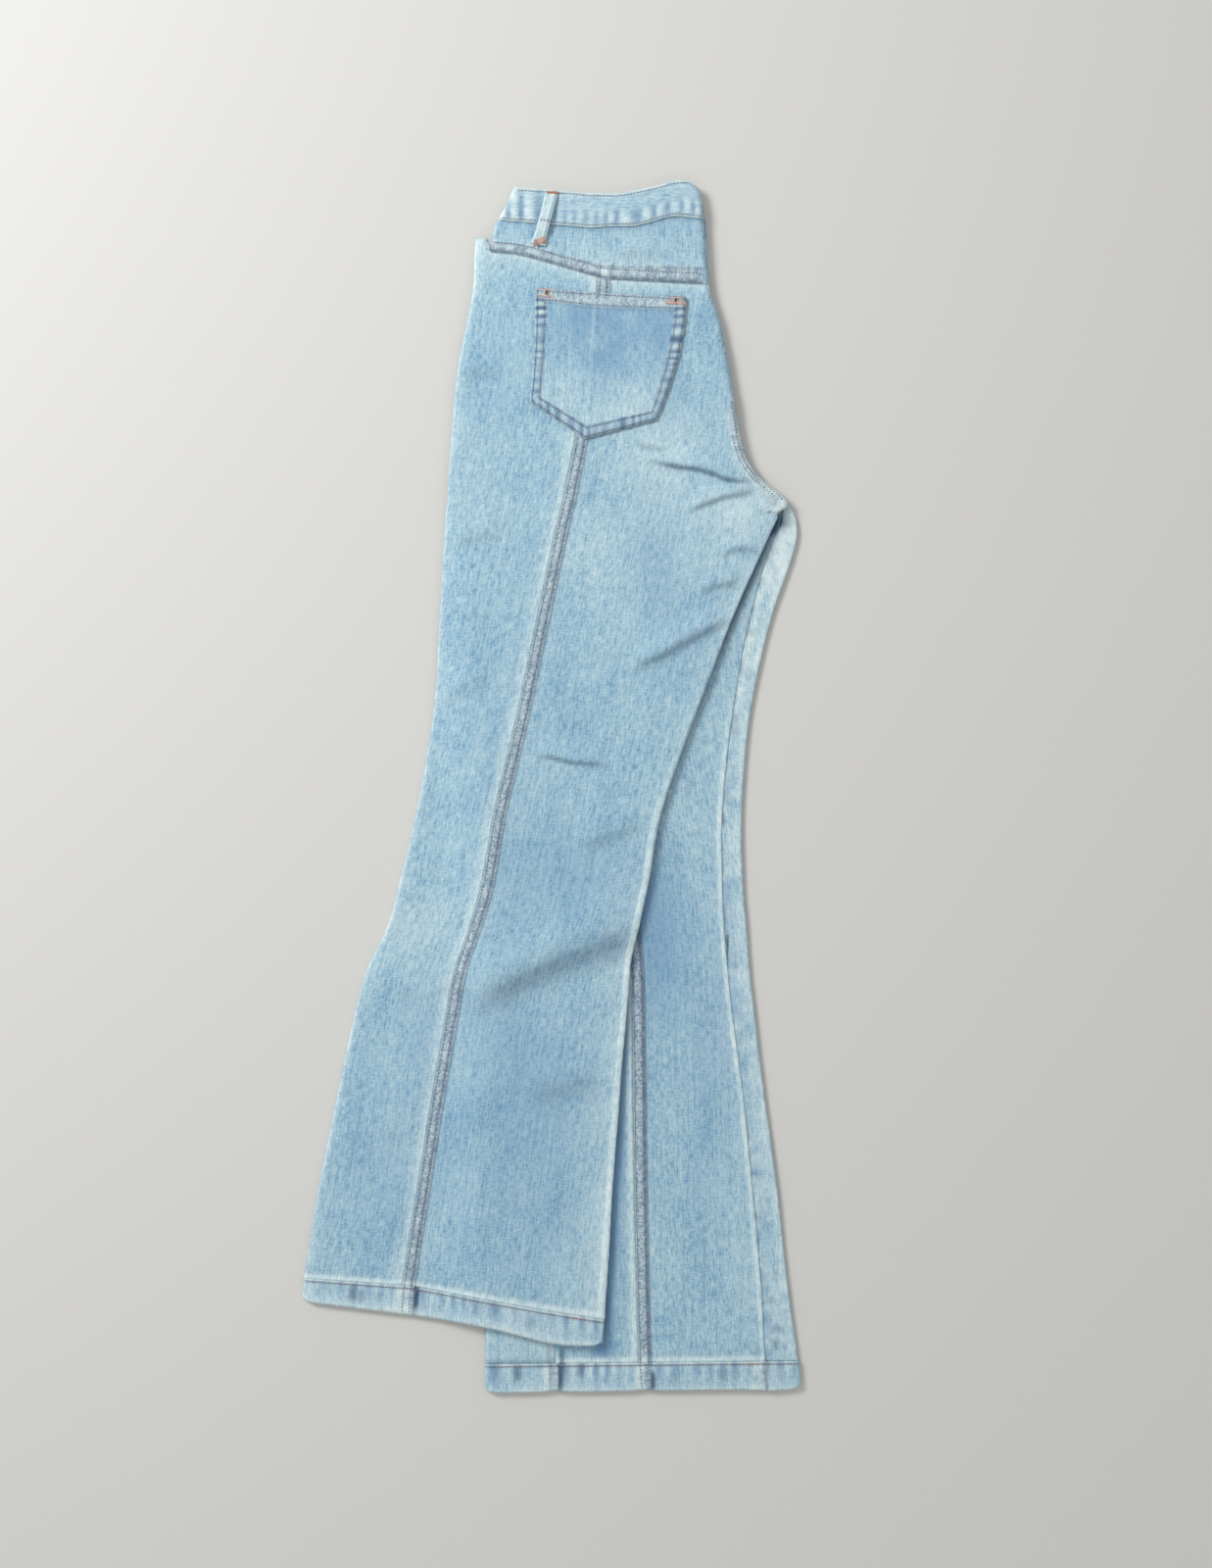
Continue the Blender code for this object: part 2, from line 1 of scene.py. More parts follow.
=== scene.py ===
# Bootcut jeans in light washed denim, laid flat and folded lengthwise with their backs outside.
# Lengths are in millimetres and become metres when a point is placed.
import math
import random
from types import SimpleNamespace

import bmesh
import bpy
import numpy as np
from mathutils import Matrix, Vector
from mathutils.bvhtree import BVHTree


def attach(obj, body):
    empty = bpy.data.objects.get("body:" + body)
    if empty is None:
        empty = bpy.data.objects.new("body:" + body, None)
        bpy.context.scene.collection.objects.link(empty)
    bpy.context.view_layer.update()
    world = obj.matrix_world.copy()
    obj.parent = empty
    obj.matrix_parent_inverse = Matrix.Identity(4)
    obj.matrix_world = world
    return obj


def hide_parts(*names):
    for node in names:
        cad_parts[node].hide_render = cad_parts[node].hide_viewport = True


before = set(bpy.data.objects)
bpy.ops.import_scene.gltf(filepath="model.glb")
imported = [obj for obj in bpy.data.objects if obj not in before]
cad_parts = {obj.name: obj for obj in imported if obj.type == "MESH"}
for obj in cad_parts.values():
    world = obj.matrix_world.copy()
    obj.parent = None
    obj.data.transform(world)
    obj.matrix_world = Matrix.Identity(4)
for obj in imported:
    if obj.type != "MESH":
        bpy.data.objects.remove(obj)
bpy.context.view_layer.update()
print("frame loaded:", len(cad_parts), "solids")

mm = 0.001
leftBack, leftFront, rightFront, rightBack = range(4)  # the four layers, from the floor up

cut = {  # how the cloth is stacked and folded, with the solids' own walls and heights
    "wall": 1.2,
    "layerRise": 2.9,  # from one layer to the next
    "drop": 56.0,  # width over which the right leg comes down beside the left one
    "sideReach": 1.8,  # how far the side folds bend
    "outseamShare": 0.17,  # share of the strip from the outseam to the fold with fine columns
    "foldReach": 5.0,
    "frontInset": 13.0,
    "frontDip": 28.0,
    "dipStart": -30.0,
    "dipRun": 165.0,
    "seamBand": 11.0,
    "yokeBand": 12.0,
    "beside": 2.0,  # how far the fine columns go on beside a band
    "ridge": 5.0,
    "seamRise": 0.6,
    "bandWall": 2.2,
    "bandRise": 3.0,
    "hemWall": 1.8,
    "hemRise": 3.3,
    "yokeStep": 12.0,
    "lowerInset": 7.0,
    "styleShift": 6.3,
    "notch": 5.5,  # at the fork, in the right back's edge
    "notchDown": 305.0,
    "notchRun": 4.0,
    "hemBowX": 5.0,
    "hemBowRun": 48.0,
    "cornerRise": 2.6,
    "cornerRun": 4.5,
    "centreX": -0.7,
    "centreDown": 558.5,
}

grain = {  # spacing of the grids down and across the panels
    "shown": (2.3, 2.9),
    "small": (1.7, 2.2),
    "edge": (2.3, 6.0),
    "hidden": (6.0, 6.0),
    "bandColumn": 1.5,
}

# x is across from the garment's middle, down is from the top of the waist. The places are those of the
# solids, moved by a few millimetres where the photo shows more than the solids do.
rightNames = ("sideX", "sideDown", "seamX", "seamDown", "innerX", "innerDown", "wrap", "front", "bow")
rightRows = (
    (-34, 7, 33, 12, 135, 3, 12, 92, 0),  # 0 waist
    (-49, 37, 37, 44, 139, 36, 12, 96, 0),  # 1 band seam
    (-69, 57, 48, 91, 144, 96, 20, 101, 0),  # 2 yoke seam
    (-73, 104, 43, 128, 154, 131, 16, 106, 0),
    (-86, 175, 36, 184, 164, 184, 12, 112, 0),
    (-92, 236, 27, 242, 174, 244, 12, 113, 0),
    (-95, 268, 21, 271, 188, 271, 12, 119, 0),  # 6 above the fork
    (-96, 292, 17, 292, 215, 296, 12, 135, 0),
    (-98, 311, 12, 311, 204, 315, 12, 124, 0),  # 8 legs parted
    (-100, 344, 5, 344, 191, 344, 14, 112, 0),
    (-104, 410, -9, 410, 162, 410, 17, 97, 0),
    (-110, 496, -27, 496, 129, 496, 22, 86, 0),
    (-125, 581, -47, 581, 99, 581, 30, 77, 0),
    (-140, 644, -58, 644, 88, 643, 34, 76, 0),
    (-151, 684, -69, 684, 80, 679, 38, 78, 0),
    (-170, 725, -83, 725, 72, 718, 41, 81, 0),
    (-180, 760, -90, 760, 69, 754, 44, 83, 0),
    (-196, 835, -103, 835, 62, 832, 50, 90, 0),
    (-214, 923, -117, 923, 55, 925, 58, 101, 0),
    (-228, 1010, -132, 1017, 47, 1046, 63, 110, 1),  # 19 hem seam
    (-229, 1031, -134, 1043, 45, 1066, 63, 110, 8),  # 20 hem edge
)
leftNames = ("sideX", "sideDown", "outseam", "front", "inseam", "innerX", "innerDown", "back")
leftRows = (
    (-31, 10, -22, 43, 122, 135, 2, 33),
    (-44, 42, -35, 40, 127, 140, 36, 37),
    (-62, 63, -42, 33, 130, 144, 96, 48),
    (-67, 108, -52, 29, 139, 154, 131, 43),
    (-77, 176, -67, 22, 149, 164, 184, 36),
    (-83, 238, -73, 18, 161, 174, 244, 29),
    (-84, 268, -74, 16, 177, 188, 271, 27),
    (-83, 292, -73, 17, 206, 217, 296, 33),
    (-79, 311, -69, 19, 209, 225, 317, 42),
    (-72, 344, -61, 25, 198, 221, 344, 53),
    (-69, 410, -54, 33, 180, 199, 410, 49),
    (-67, 496, -45, 44, 165, 181, 496, 39),
    (-56, 581, -30, 60, 156.5, 174, 581, 32),
    (-54, 644, -22, 70, 156.5, 175, 644, 28),
    (-54, 684, -18, 75, 158, 178, 684, 23),
    (-54, 725, -15, 79, 161.5, 181, 725, 17),
    (-55, 760, -13, 80, 165, 185, 760, 15),
    (-58, 835, -8, 81, 175, 194, 835, 20),
    (-61, 923, -4, 82, 184, 206, 923, 33),
    (-61, 1013, 0, 84, 192, 216, 1013, 45),
    (-61, 1089, 3, 86, 196, 226, 1086, 55),  # 20 hem seam
    (-61, 1115, 2, 88, 198, 228, 1111, 56),  # 21 hem edge
)
bandAt, yokeAt, forkAt, rightHem, leftHem = 1, 2, 6, 19, 20

# where the waist, the band seam and the yoke seam bow away from straight lines: place, x, by, run
bowRows = ((0, 62, 3.0, 20), (0, 116, -4.0, 17), (0, 138, 9.0, 7), (1, 112, -4.5, 19), (1, 74, 1.5, 14),
           (2, -62, 6.0, 22), (21, 2, -1.3, 10), (21, 85, -1.0, 9), (21, 200, 1.5, 16))

# creases of the right back: points of the line, height, lit width, steep width, shade, width of the shade
creaseRows = (
    (((80, 253), (98, 258), (117, 262), (135, 264), (151, 269), (158, 273), (172, 275), (190, 274)),
     2.9, 9.0, 2.2, 0.72, 2.3),
    (((118, 305), (142, 295), (157, 289.5), (171, 287), (190, 281)), 2.1, 9.0, 2.6, 0.46, 2.6),
    (((72, 239), (89, 243), (108, 247.5)), 0.8, 8.0, 3.0, 0.25, 3.0),
    (((154, 346), (165, 338), (178, 336.5), (194, 341)), 1.3, 7.0, 3.4, 0.35, 3.0),
    (((132, 378), (147, 371), (160, 369), (174, 362)), 1.4, 9.0, 5.0, 0.35, 4.0),
    (((62, 450), (100, 434), (124, 420), (168, 397)), 2.4, 14.0, 4.5, 0.42, 5.0),
    (((-20, 526), (0, 528.5), (16, 533), (52, 536)), 1.7, 11.0, 2.4, 0.6, 2.0),
    (((-92, 762), (-57, 741), (-32, 727), (0, 712), (36, 698.5), (60, 689), (90, 677)),
     3.6, 34.0, 12.0, 0.4, 14.0),
    (((-170, 727), (-140, 737), (-112, 742), (-84, 738)), 1.8, 24.0, 12.0, 0.25, 14.0),
    (((-92, 176), (-66, 173), (-42, 171)), 0.9, 14.0, 6.0, 0.12, 6.0),
    (((-98, 330), (-70, 322), (-44, 320)), 0.8, 16.0, 8.0, 0.12, 7.0),
    (((-104, 470), (-78, 461), (-56, 459)), 0.8, 18.0, 8.0, 0.12, 8.0),
    (((20, 610), (48, 600), (82, 585)), 1.1, 18.0, 7.0, 0.2, 7.0),
    (((-200, 880), (-170, 872), (-140, 876)), 0.9, 20.0, 10.0, 0.12, 10.0),
    (((-30, 840), (5, 826), (48, 818)), 1.0, 24.0, 12.0, 0.16, 12.0),
    (((52, 66), (80, 63), (112, 68)), 0.7, 12.0, 6.0, 0.12, 5.0),
)


def hexColour(code):  # sRGB hex to the linear colour that shaders take
    parts = [int(code[i:i + 2], 16) / 255 for i in (1, 3, 5)]
    return tuple(c / 12.92 if c <= 0.04045 else ((c + 0.055) / 1.055) ** 2.4 for c in parts) + (1.0,)


def eased(share):  # a smooth step from 0 to 1
    share = np.clip(share, 0.0, 1.0)
    return share * share * (3 - 2 * share)


def past(value, start, run):  # 0 up to the start, and 1 once a run beyond it
    return eased((value - start) / run)


def mix(start, end, share):
    return start + (end - start) * share


def bell(distance, width):
    return np.exp(-(distance / width) ** 2)


def cloudy(x, y, size, seed):  # smooth uneven values from -1 to 1
    cells = 97  # before the values repeat
    values = np.random.default_rng(seed).uniform(-1, 1, (cells, cells))
    i, j = np.floor(x / size).astype(int), np.floor(y / size).astype(int)
    s, t = eased(x / size - i), eased(y / size - j)
    i, j, nextI, nextJ = i % cells, j % cells, (i + 1) % cells, (j + 1) % cells
    return mix(mix(values[i, j], values[nextI, j], s), mix(values[i, nextJ], values[nextI, nextJ], s), t)


def readRows(names, rows, v):  # every column at the places v, on smooth curves through the rows
    values = np.array(rows, float)
    last = len(rows) - 1
    i = np.clip(v.astype(int), 0, last - 1)
    t = (v - i)[:, None]
    start, end = values[i], values[i + 1]
    leaving = (end - values[np.maximum(i - 1, 0)]) / 2
    arriving = (values[np.minimum(i + 2, last)] - start) / 2
    rest = 1 - t
    smooth = (start * (1 + 2 * t) * rest ** 2 + leaving * t * rest ** 2
              + end * t * t * (3 - 2 * t) - arriving * t * t * rest)
    return {name: smooth[:, k:k + 1] for k, name in enumerate(names)}


def alongLine(x, xs, downs):  # how far down a line with corners is at x
    result = downs[0] + 0 * x
    for k in range(len(xs) - 1):
        share = np.clip((x - xs[k]) / (xs[k + 1] - xs[k]), 0, 1)
        result = result + share * (downs[k + 1] - downs[k])
    return result


def section(side, v):  # a leg's measures at the places v
    right = side == "right"
    table = readRows(rightNames if right else leftNames, rightRows if right else leftRows, v)
    trunk = table if right else readRows(rightNames, rightRows, np.minimum(v, len(rightRows) - 1))
    here = SimpleNamespace(side=side, v=v[:, None], **table)
    here.parted = past(here.v, forkAt, 2)
    here.ownLine = 0 * here.v if right else here.parted
    here.line = [[trunk[key + tail] for key in ("side", "seam", "inner")] for tail in ("X", "Down")]
    here.legLine = [(here.sideX, here.innerX), (here.sideDown, here.innerDown)]
    here.yokeSide = here.sideX + cut["yokeStep"] * eased(here.v - bandAt)
    here.seamEdge = (here.seamX if right else here.front) - cut["styleShift"]
    if right:  # the centre back seam ends in a small notch at the fork
        here.innerX = here.innerX - cut["notch"] * bell(here.innerDown - cut["notchDown"], cut["notchRun"])
    return here


def downAt(here, x):  # how far down each row of a panel is at x
    down = mix(alongLine(x, *here.line), alongLine(x, *here.legLine), here.ownLine)
    for place, at, by, spread in bowRows:
        down = down + by * eased(1 - abs(here.v - place)) * bell(x - at, spread)
    hem = leftHem
    if here.side == "right":
        down = down + here.bow * bell(x - cut["hemBowX"], cut["hemBowRun"])
        hem = rightHem
    corners = bell(x - here.sideX, cut["cornerRun"]) + bell(x - here.innerX, cut["cornerRun"])
    return down - cut["cornerRise"] * eased(here.v - hem) * corners


sidePlaces = np.linspace(0, len(leftRows) - 1, 2 * len(leftRows) - 1)
sideSection = readRows(leftNames, leftRows, sidePlaces)


def leftSide(down):
    return np.interp(down, sideSection["sideDown"][:, 0], sideSection["sideX"][:, 0])


def level(layer, x, down):  # middle height of a layer; the right leg comes down beside the left one
    if layer in (leftBack, leftFront):
        return cut["wall"] / 2 + cut["layerRise"] * layer + 0 * x
    over = eased((x - leftSide(down) + cut["drop"]) / cut["drop"])
    return cut["wall"] / 2 + cut["layerRise"] * (layer - 2 + 2 * over)


creaseLook = {"fadesIn": 0.3, "fadesOut": 0.25, "shadeAt": 0.75}  # shares of its length, and of the shade


def crease(x, down, line, lit, steep, width):  # a soft ridge, steep on its lower side, and the shade there
    best = np.full(x.shape, 1e9)
    signed, along = np.zeros(x.shape), np.zeros(x.shape)
    travelled = 0.0
    for (ax, ad), (bx, bd) in zip(line, line[1:]):
        length = math.hypot(bx - ax, bd - ad)
        share = ((x - ax) * (bx - ax) + (down - ad) * (bd - ad)) / length ** 2
        held = np.clip(share, 0, 1)
        offX, offDown = x - mix(ax, bx, held), down - mix(ad, bd, held)
        distance = np.hypot(offX, offDown)
        nearer = distance < best
        below = np.sign(offDown * (bx - ax) - offX * (bd - ad))
        signed = np.where(nearer, distance * below, signed)
        along = np.where(nearer, travelled + held * length, along)
        best = np.where(nearer, distance, best)
        travelled += length
    ends = eased(along / (creaseLook["fadesIn"] * travelled))
    ends = ends * eased((travelled - along) / (creaseLook["fadesOut"] * travelled))
    ridge = np.where(signed < 0, bell(signed, lit), bell(signed, steep))
    return ends * ridge, ends * bell(signed - creaseLook["shadeAt"] * width, width)


def creases(x, down):  # the lift and the shade of all the creases
    lift, shade = 0 * x, 0 * x
    for line, height, lit, steep, dark, width in creaseRows:
        ridge, hollow = crease(x, down, line, lit, steep, width)
        lift = lift + height * ridge
        shade = shade + dark * hollow
    return lift, shade


waveRows = ((0.55, 92, 0.0), (0.30, 41, 0.4), (0.13, 17, 0.0), (0.07, 8, 0.0))  # height, size, slant


def waves(x, down, seed, amount=1.0):  # cloth never lies quite flat
    total = 0 * x
    for k, (height, size, slant) in enumerate(waveRows):
        total = total + height * cloudy(x + slant * down, down, size, seed + k)
    return amount * total


def puckers(along, pitch, seed):  # uneven gathers along a sewn line, from -1 to 1
    phase = along / pitch + 0.7 * cloudy(along, 0 * along, 2.6 * pitch, seed)
    height = 0.6 + 0.55 * cloudy(along, 0 * along + 50, 1.7 * pitch, seed + 7)
    return np.sin(2 * math.pi * phase) * np.clip(height, 0.1, 1.1)


def felled(into, along, width, rows, seed, pitch=9.0, depth=0.3, halo=0.55, mottle=0.3):
    # a folded and stitched band, from its seam (into = 0) to its free edge, with the tones of its wear and
    # painted shade in its grooves and past its free edge
    inside = past(into, -0.5, 1.0) * past(width - into, -0.5, 1.0)
    before, after = np.maximum(-into, 0), np.maximum(into - width, 0)
    beside = np.exp(-np.maximum(before, after) / 5.0)
    wave, specks = puckers(along, pitch, seed), cloudy(along, 0.6 * into, 3.3, seed + 11)
    high, hollow = np.maximum(wave, 0), np.maximum(-wave, 0)
    lift = cut["seamRise"] * inside + depth * wave * (inside + 0.55 * (1 - inside) * beside)
    # painted shadow past the band's free edge, and dark specks of the band
    shade = 0.5 * bell(into - width - 0.5, 1.0) + inside * 0.3 * mottle * np.maximum(-specks, 0)
    for k, row in enumerate(rows):  # the thread pulls a groove, with painted shade in it, darker along the outer rows
        lift = lift - 0.34 * bell(into - row, 0.9)
        shade = shade + (0.42 + 0.34 * (k > 0)) * bell(into - row, 1.15) * (0.85 + 0.3 * wave)
    outside = (1 - inside) * np.where(into < 0, np.exp(-before / 5.5), 0.25 * np.exp(-after / 5.0))
    dots = high ** 3 * bell(into - width / 2, 0.36 * width)  # worn pale where the gathers stand up
    pale = inside * mottle * (1.6 * dots + 0.8 * np.maximum(specks, 0)) + halo * outside
    deep = inside * mottle * hollow + 0.2 * outside * hollow
    return {"lift": lift, "pale": pale, "deep": deep, "band": inside, "shade": shade}


def placed(x, down, height):  # points in the frame, in metres
    return np.stack(((x - cut["centreX"]) * mm, (cut["centreDown"] - down) * mm, height * mm), axis=-1)


def columns(start, end, spacing):  # evenly spaced, up to the end but without it
    count = max(1, math.ceil(float(np.max(np.abs(end - start))) / spacing))
    return mix(start, end, np.arange(count)[None, :] / count)


def onLayer(here, layer, x):
    return x, level(layer, x, downAt(here, x))


def stretch(here, layer, start, end, spacing):
    return onLayer(here, layer, columns(start, end, spacing))


def flipped(part):
    return part[0][:, ::-1], part[1][:, ::-1]


def following(part):  # without its first column, which the part before it already has
    return part[0][:, 1:], part[1][:, 1:]


def halfTurn(edge, inward, reach, top, bottom, angles):  # cloth bending round a fold
    turn = np.radians(angles)[None, :]
    middle, half = (top + bottom) / 2, (top - bottom) / 2
    return edge + inward * reach * (1 - np.cos(turn)), middle + half * np.sin(turn)


roundFold = np.linspace(90, -90, 9)


def sideFold(here, upper, lower, side):
    inside = side + cut["sideReach"]
    heights = [onLayer(here, layer, inside)[1] for layer in (upper, lower)]
    return halfTurn(side, 1, cut["sideReach"], *heights, roundFold)


def edgeTurn(edge, reach, height, end, steps=7):  # cloth bending down or up to a seam at its edge
    turn = np.radians(np.linspace(90, 0, steps))[None, :]
    return edge - reach * (1 - np.cos(turn)), end + (height - end) * np.sin(turn)


def edgeHeights(here):  # of the layers, and of the seams that join them at the inner edge
    down = here.innerDown
    layers = [level(layer, here.innerX, down) for layer in range(4)]
    return layers, (layers[3] + layers[0]) / 2, (layers[2] + layers[1]) / 2, (layers[3] + layers[2]) / 2


def rightEnd(here):  # the right back's edge, round to the centre back seam or the inseam
    reach = mix(cut["foldReach"], cut["sideReach"], here.parted)
    _, centreBack, _, inseam = edgeHeights(here)
    edge = stretch(here, rightBack, beforeEdge(here), here.innerX - reach, grain["bandColumn"])
    top = onLayer(here, rightBack, here.innerX - reach)[1]
    return [edge, edgeTurn(here.innerX, reach, top, mix(centreBack, inseam, here.parted))]


def beforeEdge(here):  # where the fine columns of the right back's inner edge start
    return here.innerX - mix(cut["seamBand"], cut["ridge"], here.parted) - cut["beside"]


def leftEnd(here):  # the left back's edge: to the centre back seam, or over the top to the inseam
    layers, centreBack, _, _ = edgeHeights(here)
    legX, legZ = halfTurn(here.innerX, -1, cut["sideReach"], layers[1], layers[0], roundFold[::-1])
    across = mix(here.innerX - cut["sideReach"], here.inseam, np.linspace(0, 1, 15)[None, 1:])
    legX = np.concatenate([here.innerX - cut["foldReach"], legX, across], axis=1)
    legZ = np.concatenate([layers[0], legZ, layers[1] + 0 * across], axis=1)
    trunkX, trunkZ = edgeTurn(here.innerX, cut["foldReach"], layers[0], centreBack, legX.shape[1])
    return [(mix(trunkX, legX, here.parted), mix(trunkZ, legZ, here.parted))]


def styleBand(here, layer, end, column):  # a panel from its style seam on, with fine columns in the band
    bandEnd = here.seamEdge + cut["seamBand"] + cut["beside"]
    return [stretch(here, layer, here.seamEdge, bandEnd, grain["bandColumn"]),
            stretch(here, layer, bandEnd, end, column)]


def backOuterRight(here, column):
    return [stretch(here, rightBack, here.seamEdge, here.sideX + cut["sideReach"], column),
            sideFold(here, rightBack, rightFront, here.sideX),
            onLayer(here, rightFront, here.sideX + here.wrap)]


def backInnerRight(here, column):
    return styleBand(here, rightBack, beforeEdge(here), column) + rightEnd(here)


def yokeRight(here, column):
    inside = here.yokeSide + cut["sideReach"]
    return [onLayer(here, rightFront, here.sideX + here.wrap),
            flipped(sideFold(here, rightBack, rightFront, here.yokeSide)),
            following(stretch(here, rightBack, inside, beforeEdge(here), column))] + rightEnd(here)


def frontOuterRight(here, column):
    edge = here.innerX - here.front
    return [stretch(here, rightFront, here.sideX + here.wrap, edge, column), onLayer(here, rightFront, edge)]


def frontInnerRight(here, column):
    layers, _, centreFront, inseam = edgeHeights(here)
    edge = here.innerX - cut["frontInset"] * (1 - here.parted)
    end = mix(centreFront, inseam, here.parted)
    return [stretch(here, rightFront, here.innerX - here.front, edge - cut["sideReach"], column),
            edgeTurn(edge, cut["sideReach"], layers[rightFront], end, 5)]


def backOuterLeft(here, column):
    fold = here.sideX + cut["sideReach"]
    bandEnd = mix(here.outseam, fold, cut["outseamShare"])
    return [stretch(here, leftFront, here.outseam, bandEnd, grain["bandColumn"]),
            stretch(here, leftFront, bandEnd, fold, column),
            sideFold(here, leftFront, leftBack, here.sideX),
            following(stretch(here, leftBack, fold, here.back, column)),
            onLayer(here, leftBack, here.back)]


def backInnerLeft(here, column):
    return [stretch(here, leftBack, here.back, here.innerX - cut["foldReach"], column)] + leftEnd(here)


def yokeLeft(here, column):
    inside, fold = here.yokeSide + cut["sideReach"], here.innerX - cut["foldReach"]
    return [onLayer(here, leftFront, here.outseam), sideFold(here, leftFront, leftBack, here.yokeSide),
            following(stretch(here, leftBack, inside, fold, column))] + leftEnd(here)


def frontOuterLeft(here, column):
    return [stretch(here, leftFront, here.outseam, here.seamEdge, column),
            onLayer(here, leftFront, here.seamEdge)]


def frontInnerLeft(here, column):
    layers, _, centreFront, _ = edgeHeights(here)
    edge = here.innerX - cut["frontInset"]
    end = mix(edge - cut["sideReach"], here.inseam - cut["foldReach"], here.parted)
    trunkX, trunkZ = edgeTurn(edge, cut["sideReach"], layers[leftFront], centreFront, 5)
    flat = here.inseam - cut["foldReach"] * (1 - np.linspace(0, 1, 5)[None, :])
    turn = (mix(trunkX, flat, here.parted), mix(trunkZ, layers[leftFront], here.parted))
    return styleBand(here, leftFront, end, column) + [turn]


def hemRing(here, upper, lower, column):
    side, inner, reach = here.sideX + cut["sideReach"], here.innerX - cut["sideReach"], cut["sideReach"]
    low = (cut["hemWall"] - cut["wall"]) / 2
    high = low + cut["hemRise"] - cut["layerRise"]
    topX, topZ = stretch(here, upper, side, inner, column)
    bottomX, bottomZ = stretch(here, lower, inner, side, column)
    innerHigh, sideLow = onLayer(here, upper, inner)[1] + high, onLayer(here, lower, side)[1] + low
    return [(topX, topZ + high),
            halfTurn(here.innerX, -1, reach, innerHigh, bottomZ[:, :1] + low, roundFold),
            following((bottomX, bottomZ + low)),
            flipped(halfTurn(here.sideX, 1, reach, topZ[:, :1] + high, sideLow, roundFold))]


def hemRight(here, column):
    return hemRing(here, rightBack, rightFront, column)


def hemLeft(here, column):
    return hemRing(here, leftFront, leftBack, column)


def bandHeight(layer):
    return cut["bandWall"] / 2 + cut["bandRise"] * layer


def waistband(here, column):  # round the whole waist, from the centre front to the centre front
    front, fold, reach = here.innerX - cut["frontInset"], here.innerX - cut["foldReach"], cut["sideReach"]
    lowerSide = here.sideX + cut["lowerInset"]
    heights = [bandHeight(layer) + 0 * front for layer in range(4)]

    def flat(start, end, layer, spacing):
        x = columns(start, end, spacing)
        return x, heights[layer] + 0 * x

    return [flat(front, here.sideX + reach, rightFront, 2 * column),
            flipped(halfTurn(here.sideX, 1, reach, heights[rightBack], heights[rightFront], roundFold)),
            following(flat(here.sideX + reach, fold, rightBack, column)),
            halfTurn(here.innerX, -1, cut["foldReach"], heights[rightBack], heights[leftBack], roundFold),
            following(flat(fold, lowerSide + reach, leftBack, column)),
            flipped(halfTurn(lowerSide, 1, reach, heights[leftFront], heights[leftBack], roundFold)),
            following(flat(lowerSide + reach, front, leftFront, 2 * column)),
            (front, heights[leftFront])]


def arcLength(x, down):  # distance travelled down each column's mean line
    steps = np.hypot(np.diff(x, axis=0), np.diff(down, axis=0))
    return np.concatenate([0 * steps[:1], np.cumsum(steps, axis=0)], axis=0)


def lengthDown(here):  # along a panel's middle
    return arcLength((here.sideX + here.innerX) / 2, (here.sideDown + here.innerDown) / 2)


def placesDown(side, first, last, spacing):  # rows of a panel, evenly spaced down it
    probe = np.linspace(first, last, 40 * (last - first) + 1)
    here = section(side, probe)
    length = lengthDown(here)[:, 0]
    count = max(3, int(length[-1] / spacing))
    return np.interp(np.linspace(0, length[-1], count + 1), length, probe)


def addNode(tree, kind, settings=None, links=None):  # settings by attribute or input, links by input
    node = tree.nodes.new(kind)
    for key, value in (settings or {}).items():
        if isinstance(key, str) and hasattr(node, key):
            setattr(node, key, value)
        else:
            node.inputs[key].default_value = value
    for key, source in (links or {}).items():
        tree.links.new(source, node.inputs[key])
    return node


def newMaterial(name, shader):
    material = bpy.data.materials.new(name)
    material.use_nodes = True
    tree = material.node_tree
    principled = tree.nodes["Principled BSDF"]
    for key, value in shader.items():
        principled.inputs[key].default_value = value
    return material, tree, principled


def blended(tree, factor, under, over):  # one colour over another
    node = addNode(tree, "ShaderNodeMix", {"data_type": "RGBA"}, {0: factor, 6: under})
    if isinstance(over, tuple):
        node.inputs[7].default_value = over
    else:
        tree.links.new(over, node.inputs[7])
    return node.outputs[2]


denimLook = {  # colours of the wash and of the painted shade, and thread spacings in millimetres
    "light": "#B9D3DA",
    "middle": "#99BBCC",
    "dark": "#6D98B6",
    "deep": "#5985B0",
    "paleLow": "#B3D0D8",
    "paleHigh": "#DFEBEA",
    "bandLow": "#647A8E",
    "bandHigh": "#C6D2D6",
    # the colour of the painted shade
    "shade": "#3E556F",
    "slubAcross": 1.5,
    "slubAlong": 8.0,
    "streakAcross": 3.2,
    "streakAlong": 60.0,
    "weftAcross": 6.0,
    "weftAlong": 1.4,
    "marble": 8.0,
    "patch": 48.0,
    "speck": 2.4,
}


def ramp(tree, factor, *stops):  # colours at their places, from the darkest to the lightest
    node = addNode(tree, "ShaderNodeValToRGB", links={"Fac": factor})
    elements = node.color_ramp.elements
    for k, (place, code) in enumerate(stops):
        stop = elements[k] if k < 2 else elements.new(place)
        stop.position = place
        stop.color = hexColour(code)
    return node.outputs[0]


